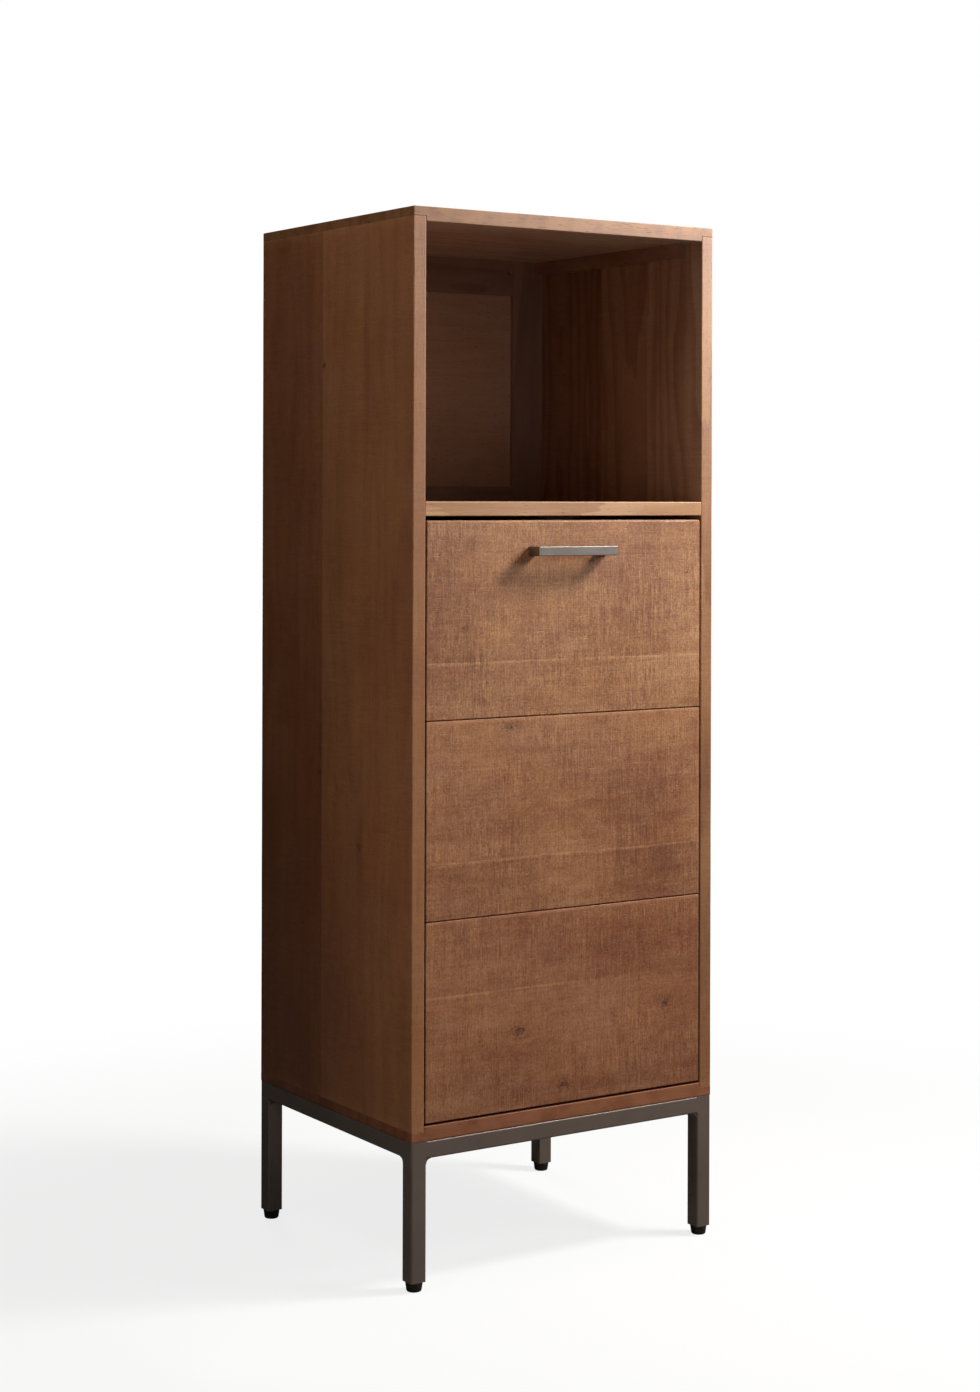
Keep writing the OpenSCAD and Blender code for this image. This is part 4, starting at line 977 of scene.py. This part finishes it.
def screw_rings(solid, spin):
    """A cross-recessed screw where a plain one is, as rings round its axis: tip, shank, cone or pan,
    face, the cross's outline and the smaller cross at its floor. Tells too whether it is turned so that
    its faces would look inwards."""
    low, high = solid.min(0), solid.max(0)
    axis = int(np.argmax(high - low))
    others = [i for i in range(3) if i != axis]
    middle = ((low + high) / 2)[others]
    reach = np.linalg.norm(solid[:, others] - middle, axis=1)
    place = solid[:, axis]
    head_r = reach.max()
    end = place[np.argmax(reach)]
    way = 1.0 if abs(end - low[axis]) < abs(end - high[axis]) else -1.0
    face = low[axis] if way > 0 else high[axis]
    deep = np.abs(place - face)
    length = deep.max()
    shank_r = reach[deep > length - 0.1 * MM].max()
    head_h = np.min(deep[deep > FACE_DEPTH])
    pan = reach[np.abs(deep - head_h) < 0.05 * MM].max() > head_r * 0.95
    if pan:
        crown = [(head_r, head_h), (head_r, 0.45 * head_h), (0.93 * head_r, 0.22 * head_h),
                 (0.80 * head_r, 0.07 * head_h), (0.66 * head_r, 0.0)]
    else:
        crown = [(0.99 * head_r, 0.25 * MM), (0.97 * head_r, 0.08 * MM), (0.92 * head_r, 0.03 * MM)]
    angle, cross = cross_outline(head_r * CROSS_ARM, head_r * CROSS_HALF)
    rings = [
        (0.3 * shank_r, length), (0.98 * shank_r, length - 3 * shank_r), (0.98 * shank_r, head_h),
        *crown, (1.06 * cross, 0.03 * MM), (0.96 * cross, 0.25 * MM), (0.62 * cross, 0.75 * head_h)]
    points = np.zeros((len(rings), len(angle), 3))
    for ring, (radius, depth) in zip(points, rings):
        ring[:, others[0]] = middle[0] + radius * np.cos(angle + spin)
        ring[:, others[1]] = middle[1] + radius * np.sin(angle + spin)
        ring[:, axis] = face + way * depth
    return points, way * (-1 if axis == 1 else 1) > 0


def make_screws(node, body):
    """Cross-recessed screws where a node's plain ones are, each turned at random."""
    draw = np.random.default_rng(len(node))
    all_points, all_quads, caps, first = [], [], [], 0
    for solid in solids_of(node):
        rings, inwards = screw_rings(solid, draw.uniform(0, math.pi / 2))
        points, quads, ends = ring_solid(rings, first)
        if inwards:
            quads, ends = quads[:, ::-1], [end[::-1] for end in ends]
        all_points.append(points)
        all_quads.append(quads)
        caps += ends
        first += len(points)
    make_piece(node + "_driven", np.concatenate(all_points), np.concatenate(all_quads), caps,
               material=SCREW_STEEL, body=body, stands_for=(node,), slot="bright_steel", smooth=35)


# Laundry bag

# Points round the bag, and the hoop's thickness, height and corner radius
BAG_AROUND = 420
HOOP_T, HOOP_H, HOOP_R = 3 * MM, 25 * MM, 34 * MM
# Thickness of the cloth, space between its middle and the hoop, and the wall's curve into the floor
CLOTH_T, CLOTH_PLAY, CLOTH_CURVE = 1.1 * MM, 0.6 * MM, 16 * MM
# How far the folds go in, and the wall between its two ends
FOLD_DEPTH, BELLY = 8.5 * MM, 4 * MM
# The hem from outside the hoop over its edge and down inside it, in mm outwards and up from its edge
HEM = ((2.2, -0.2), (2.9, 0.6), (3.0, 1.6), (2.5, 2.5), (1.6, 2.9), (0.6, 2.8), (-0.2, 2.2),
       (-0.6, 1.2), (-0.7, -1.0), (-0.5, -6.0), (-0.35, -12.0), (-0.6, -12.8))


def round_the_bag(half, y0, y1, radius):
    """Evenly spaced points on a rectangle with round corners, the outward normal and the run at each,
    and the whole way round."""
    shape = Outline(box_outline(-half, y0, half, y1, radius), bend=24, step=4 * MM)
    points, normals, _ = shape.ring()
    closed = np.vstack([points, points[:1]])
    run = np.concatenate([[0], np.cumsum(np.linalg.norm(np.diff(closed, axis=0), axis=1))])
    even = np.linspace(0, run[-1], BAG_AROUND, endpoint=False)
    normals = np.vstack([normals, normals[:1]])
    at = np.stack([np.interp(even, run, closed[:, i]) for i in range(2)], 1)
    out = np.stack([np.interp(even, run, normals[:, i]) for i in range(2)], 1)
    return at, out / np.linalg.norm(out, axis=1)[:, None], even, run[-1]


def make_cloth(name, rings, uv, caps=(), stands_for=()):
    """A sheet of linen that hangs in the door, given by rings of points in the middle of its
    thickness."""
    piece = make_piece(
        name, rings.reshape(-1, 3), grid_faces(*rings.shape[:2]), caps, material=BAG_LINEN,
        body="door", slot="bag_linen", stands_for=stands_for, smooth=70, uv=uv.reshape(-1, 2))
    thick = piece.modifiers.new("cloth", "SOLIDIFY")
    thick.thickness, thick.offset = CLOTH_T, 0.0


def wall_profile(top, floor):
    """Rows of distance outwards, height and share of the folds, from the hem down to the floor's rim."""
    rows = [(out * MM, top + up * MM, 0.0) for out, up in HEM]
    rows.append((-0.6 * MM, top - HOOP_H, 0.02))
    for t in np.linspace(0, 1, 46)[1:]:
        z = top - HOOP_H - t * (top - HOOP_H - floor - CLOTH_CURVE)
        rows.append((-0.8 * MM - 2.5 * MM * t, z, min(1.0, 0.05 + 1.5 * t)))
    for p in np.linspace(0, np.pi / 2, 9)[1:]:
        rows.append((-3.3 * MM - CLOTH_CURVE * (1 - math.cos(p)),
                     floor + CLOTH_CURVE * (1 - math.sin(p)), 1.0 - 0.55 * math.sin(p)))
    return np.array(rows)


def make_bag():
    """The bag's wall hangs from a rolled hem on the hoop: rows of points go over the hoop's edge, down
    inside it and in under the floor's rim. Below the hoop the wall falls in soft folds, a sum of sine
    waves round the bag whose size grows with depth and whose phase drifts slowly. The floor is the
    wall's last row drawn in towards its centre, with a sag and a slight ripple."""
    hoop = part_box("bag_hoop")
    skin = HOOP_T + CLOTH_PLAY
    half, y0, y1 = hoop[1].x - skin, hoop[0].y + skin, hoop[1].y - skin
    at, out, run, around = round_the_bag(half, y0, y1, HOOP_R - skin)
    draw = np.random.default_rng(77)
    count = np.arange(5, 25)
    size = draw.uniform(0.3, 1.0, len(count)) / count ** 0.55
    phase = draw.uniform(0, 2 * np.pi, len(count))
    drift = draw.normal(0, 1.1, len(count))
    spot = 2 * np.pi * run / around
    top, floor = hoop[1].z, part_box("laundry_bag")[0].z
    outwards, height, share = wall_profile(top, floor).T[..., None]
    down = np.clip((top - height) / (top - floor), 0, 1)
    waves = np.sin(spot[None, :, None] * count + phase + down[..., None] * drift * 1.6)
    folds = (waves * size).sum(2)
    folds = folds / np.abs(folds).max()
    inward = share * (FOLD_DEPTH * (0.5 - 0.5 * folds) + BELLY * np.sin(np.pi * down))
    points = np.empty((len(height), BAG_AROUND, 3))
    points[..., :2] = at + (outwards - inward)[..., None] * out
    points[..., 2] = height + down ** 2 * 1.5 * MM * np.sin(3 * spot + 1.0)
    step = np.linalg.norm(np.diff(points[:, 0], axis=0), axis=1)
    fall = np.concatenate([[0], np.cumsum(step)])
    uv = np.stack(np.broadcast_arrays(run, fall[:, None]), -1)
    make_cloth("bag_wall", points, uv, stands_for=("laundry_bag",))

    rim = points[-1]
    centre = np.array([0.0, (y0 + y1) / 2])
    shares = np.concatenate([[1.03], np.linspace(1.0, 0.05, 26)])
    ring = centre + shares[:, None, None] * (rim[None, :, :2] - centre)
    inner = np.clip((1 - shares) / 0.95, 0, 1)[:, None]
    ripple = np.sin(9 * spot + 2 * inner) * 1.2 * MM * inner * (1 - inner) * 4
    sag = -3.0 * MM * np.sin(np.pi * inner / 2) ** 2
    level = rim[None, :, 2] * (1 - inner) + (floor + 1.0 * MM) * inner + 1.2 * MM
    lying = np.concatenate([ring, (level + sag + ripple)[..., None]], -1)
    last = (len(shares) - 1) * BAG_AROUND
    size = rim[:, :2].max(0) - rim[:, :2].min(0)
    make_cloth("bag_floor", lying, ring, [list(range(last, last + BAG_AROUND))])


# Finishes

CASE_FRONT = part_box("left_side")[0].y
DOOR_FOOT, DOOR_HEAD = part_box("door_bottom_plank")[0].z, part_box("door_top_plank")[1].z


def behind_front(*distances):
    """Places at these distances behind the case's front edge."""
    return tuple(CASE_FRONT + distance for distance in distances)


def door_z(planks, further=0.0):
    """A height on the door, in planks from its lower edge and then metres."""
    return DOOR_FOOT + planks * ((DOOR_HEAD - DOOR_FOOT) / 3) + further


def side_wood(name, inward, front, figure, shifts, painted_shades, knots=()):
    """The wood of one side, whose inner face looks the way inward: the painted light tints are of its
    inner face, its front edge and its back edge, which they paint lighter and less saturated."""
    return wood(
        name, "z", "y", toned(BROWN, 1.10, 0.99, 0.83), behind_front(0.120, 0.226), steps=0.05,
        figure=figure, saw=0.30, bands=0.16, clouds=0.42, seed=1.7, shifts=shifts, painted_shades=painted_shades,
        knots=knots,
        painted_light_tints=(("x", inward, (1.12, 1.58, 2.30)), ("y", -1.0, front), ("y", 1.0, (1.0, 1.3, 1.5))))


# The shifts darken each side's back boards: their own tone, and in part painted shade towards the back.
# The left side's cloud is painted shade at its lower back.
LEFT_WOOD = side_wood(
    "left_side_wood", 1.0, (1.02, 1.14, 1.16), 0.16, (0.06, -0.20),
    painted_shades=((0.34, 0.14, 0.50, 0.26, 0.13),),
    knots=((0.619, 0.049, 2.6 * MM, 1.0), (1.148, 0.039, 2.3 * MM, 0.9),
           (0.531, -0.054, 2.3 * MM, 0.9)))
# The right side's two clouds paint its front edge darker low down and lighter near the top: painted
# shade and painted light
RIGHT_WOOD = side_wood(
    "right_side_wood", -1.0, (1.00, 1.20, 1.33), 0.6, (-0.10, -0.20),
    painted_shades=((0.30, -0.184, 0.38, 0.05, 0.12), (1.12, -0.184, 0.30, 0.05, -0.11)))
# Painted light: the top's underside, the cubby's ceiling, is tinted lighter and less saturated, and its
# back edge lighter
TOP_WOOD = wood(
    "top_wood", "x", "y", toned(BROWN, 0.82, 0.79, 0.60), behind_front(0.137, 0.297),
    steps=0.3, figure=0.5, clouds=0.4, seed=3.1,
    painted_light_tints=(("z", -1.0, (1.84, 3.00, 6.15)), ("y", 1.0, (1.0, 1.3, 1.5))))
# The shelf is toned light so that its top throws more light into the cubby; its top face is tinted back
# darker and its front edge lighter: painted shade and painted light on those faces
SHELF_WOOD = wood(
    "shelf_wood", "x", "y", toned(BROWN, 1.40, 1.42, 1.40), behind_front(0.120, 0.250),
    steps=0.4, figure=0.6, clouds=0.5, seed=4.6,
    painted_light_tints=(("y", -1.0, (1.38, 1.82, 2.02)), ("z", 1.0, (0.86, 0.91, 0.76))))
# Painted light: the bottom's back edge is tinted lighter and less saturated
BOTTOM_WOOD = wood(
    "bottom_wood", "x", "y", toned(BROWN, 0.735, 0.555, 0.47), behind_front(0.150), steps=0.4,
    figure=0.5, clouds=0.5, seed=5.2, painted_light_tints=(("y", 1.0, (1.0, 1.4, 1.7)),))
# The planks are toned lighter from the bottom one to the top one: each plank's own tone, and in part
# painted light that falls off downwards
DOOR_TOP_WOOD = wood(
    "door_top_wood", "x", "z", toned(BROWN, 1.20, 1.26, 1.18), (door_z(2.287),),
    steps=0.12, figure=0.12, saw=1.0, clouds=0.75, seed=6.4, seams=(door_z(2),), rub=0.3,
    streaks=((door_z(2.287), 5.5 * MM, -0.22, 0.22, 0.30),
             (door_z(2.66), 1.6 * MM, -0.15, 0.02, 0.12)),
    knots=((-0.155, door_z(2.46), 3 * MM, 0.6),
           (0.19, door_z(2.72), 1.6 * MM, 1.1)),
    # The top plank's darker cloud at its left is the wood's own tone; its lighter cloud in the middle is
    # painted light
    painted_shades=((-0.19, door_z(2.55), 0.07, 0.13, 0.14),
            (0.0, door_z(2.55), 0.08, 0.06, -0.06)))
DOOR_MIDDLE_WOOD = wood(
    "door_middle_wood", "x", "z", toned(BROWN, 1.14, 1.14, 1.09), (door_z(1.285),),
    steps=0.12, figure=0.12, saw=0.95, clouds=0.75, seed=7.9, seams=(door_z(1), door_z(2)),
    rub=0.3, streaks=((door_z(1.285), 4.5 * MM, -0.22, 0.22, 0.34),
                      (door_z(1.75), 1.6 * MM, -0.22, -0.03, 0.14),
                      (door_z(1.66), 1.2 * MM, -0.12, 0.10, 0.10)),
    knots=((-0.091, door_z(1.953), 4.5 * MM, 0.8),),
    # Painted shadow: a soft dark cloud at the middle plank's lower right; the lighter cloud is painted
    # light
    painted_shades=((0.135, door_z(1, 0.105), 0.085, 0.10, 0.13),
            (-0.01, door_z(1, 0.055), 0.08, 0.06, -0.09)))
DOOR_BOTTOM_WOOD = wood(
    "door_bottom_wood", "x", "z", toned(BROWN, 1.07, 1.01, 0.97), (door_z(0.62),),
    steps=0.12, figure=0.15, saw=0.9, clouds=0.75, seed=9.3, seams=(door_z(1),), rub=0.3,
    streaks=((door_z(0.62), 4.0 * MM, -0.22, 0.0, 0.27),
             (door_z(0.86), 1.4 * MM, -0.20, -0.05, 0.12)),
    knots=((-0.075, door_z(0.40), 4.5 * MM, 1.0),
           (0.155, door_z(0.44), 4.0 * MM, 1.0),
           (-0.005, door_z(0.095), 3.5 * MM, 0.9)),
    # Painted shadow: the soft shadow goes on into the bottom plank's upper right; painted light at its
    # upper left and painted shade at its lower right
    painted_shades=((0.075, door_z(1, -0.035), 0.12, 0.055, 0.12),
            (-0.17, door_z(1, -0.055), 0.09, 0.07, -0.10),
            (0.17, door_z(0, 0.06), 0.08, 0.06, 0.07)))
STILE_WOOD = wood(
    "stile_wood", "z", "x", toned(DULL, 0.88, 0.93, 1.00), steps=0.5, figure=0.4, seed=11.1)
RAIL_WOOD = wood(
    "rail_wood", "x", "z", toned(DULL, 0.84, 0.87, 0.91), steps=0.5, figure=0.4, seed=12.7)
INSET_WOOD = wood(
    "inset_wood", "x", "z", toned(DULL, 1.70, 1.95, 2.00), (0.45, 0.62, 0.80), steps=0.15,
    figure=0.12, clouds=0.3, seed=13.3)
CLEAT_WOOD = wood(
    "cleat_wood", "y", "x", toned(DULL, 1.1, 1.1, 1.1), steps=0.4, figure=0.7, seed=14.9)

STAND_STEEL = coated_steel("stand_steel", (0.186, 0.141, 0.116))
# The pull's top faces are painted darker: painted shade
PULL_METAL = brushed("pull_metal", (0.266, 0.232, 0.212), "x", 0.36, top=0.40)
BRIGHT_STEEL = brushed("bright_steel", (0.56, 0.55, 0.53), "z", 0.30)
SCREW_STEEL = brushed("screw_steel", (0.50, 0.48, 0.44), "z", 0.34, 0.5)
STAY_STEEL = brushed("stay_steel", (0.36, 0.36, 0.36), "z", 0.36)
HOOP_STEEL = brushed("hoop_steel", (0.30, 0.29, 0.28), "x", 0.40)
BUSH_BRASS = brushed("bush_brass", (0.20, 0.13, 0.055), "x", 0.42)
# Painted shade: the magnet is coloured nearly black so that its sliver in the gap above the door stays
# dark
MAGNET_STEEL = brushed("magnet_steel", (0.07, 0.07, 0.075), "x", 0.55)
FOOT_PLASTIC = moulded("foot_plastic", (0.010, 0.009, 0.009), 0.42)
BROWN_PLASTIC = moulded("brown_plastic", (0.032, 0.017, 0.011), 0.55)
BAG_LINEN = linen("bag_linen", (0.66, 0.58, 0.46))

# Each finish of the CAD's own solids, the width in mm by which it softens their arrises, and the nodes
FINISHES = (
    (STILE_WOOD, 0.5,
     ("back_left_stile", "back_right_stile", "door_left_batten", "door_right_batten")),
    (RAIL_WOOD, 0.5, ("back_top_rail", "back_middle_rail", "back_bottom_rail")),
    (INSET_WOOD, 0.4, ("upper_back_panel", "lower_back_panel")),
    (CLEAT_WOOD, 0.5, ("left_top_cleat", "right_top_cleat")),
    (STAND_STEEL, 0.0,
     ("base_front_rail", "base_back_rail", "base_left_rail", "base_right_rail", "front_left_leg",
      "front_right_leg", "back_left_leg", "back_right_leg", "base_corner_plates")),
    (FOOT_PLASTIC, 0.0, ("leg_inserts",)),
    (BRIGHT_STEEL, 0.0, ("pivot_pins", "stay_studs", "strike_plate")),
    (STAY_STEEL, 0.35, ("left_stay", "right_stay")),
    (HOOP_STEEL, 0.4, ("bag_hoop",)),
    (BUSH_BRASS, 0.0, ("case_bushes", "door_bushes")),
    (MAGNET_STEEL, 0.3, ("catch_magnet",)),
    (BROWN_PLASTIC, 0.4, ("left_keeper", "right_keeper", "catch_housing")))
# Distance within which points are made one, and angles up to which faces are flat and edges stay sharp
WELD, FLAT, SHARP = 0.01 * MM, math.radians(1), math.radians(40)


def soften(node, width):
    """Rounds a node's arrises: equal points are welded, flat triangles joined, and edges that turn by
    more than SHARP get a round of that width."""
    node.modifiers.new("weld", "WELD").merge_threshold = WELD
    plane = node.modifiers.new("plane", "DECIMATE")
    plane.decimate_type, plane.angle_limit = "DISSOLVE", FLAT
    bevel = node.modifiers.new("arris", "BEVEL")
    bevel.width, bevel.segments = width, 2
    bevel.limit_method, bevel.angle_limit = "ANGLE", SHARP
    node.modifiers.new("normal", "WEIGHTED_NORMAL").keep_sharp = False


def finish_nodes():
    """Gives each node that stays its finish, and softens the arrises that are sharp."""
    for material, width, names in FINISHES:
        for name in names:
            for slot in NODES[name].material_slots:
                slot.material = material
            if width:
                soften(NODES[name], width * MM)


finish_nodes()
make_case()
make_planks()
make_pull()
make_feet()
for screws in ("base_screws", "keeper_screws", "catch_screws", "cleat_screws", "back_screws"):
    make_screws(screws, "case")
for screws in ("batten_screws", "handle_screws", "door_hardware_screws"):
    make_screws(screws, "door")
make_bag()

bpy.context.scene.view_settings.view_transform = "Standard"
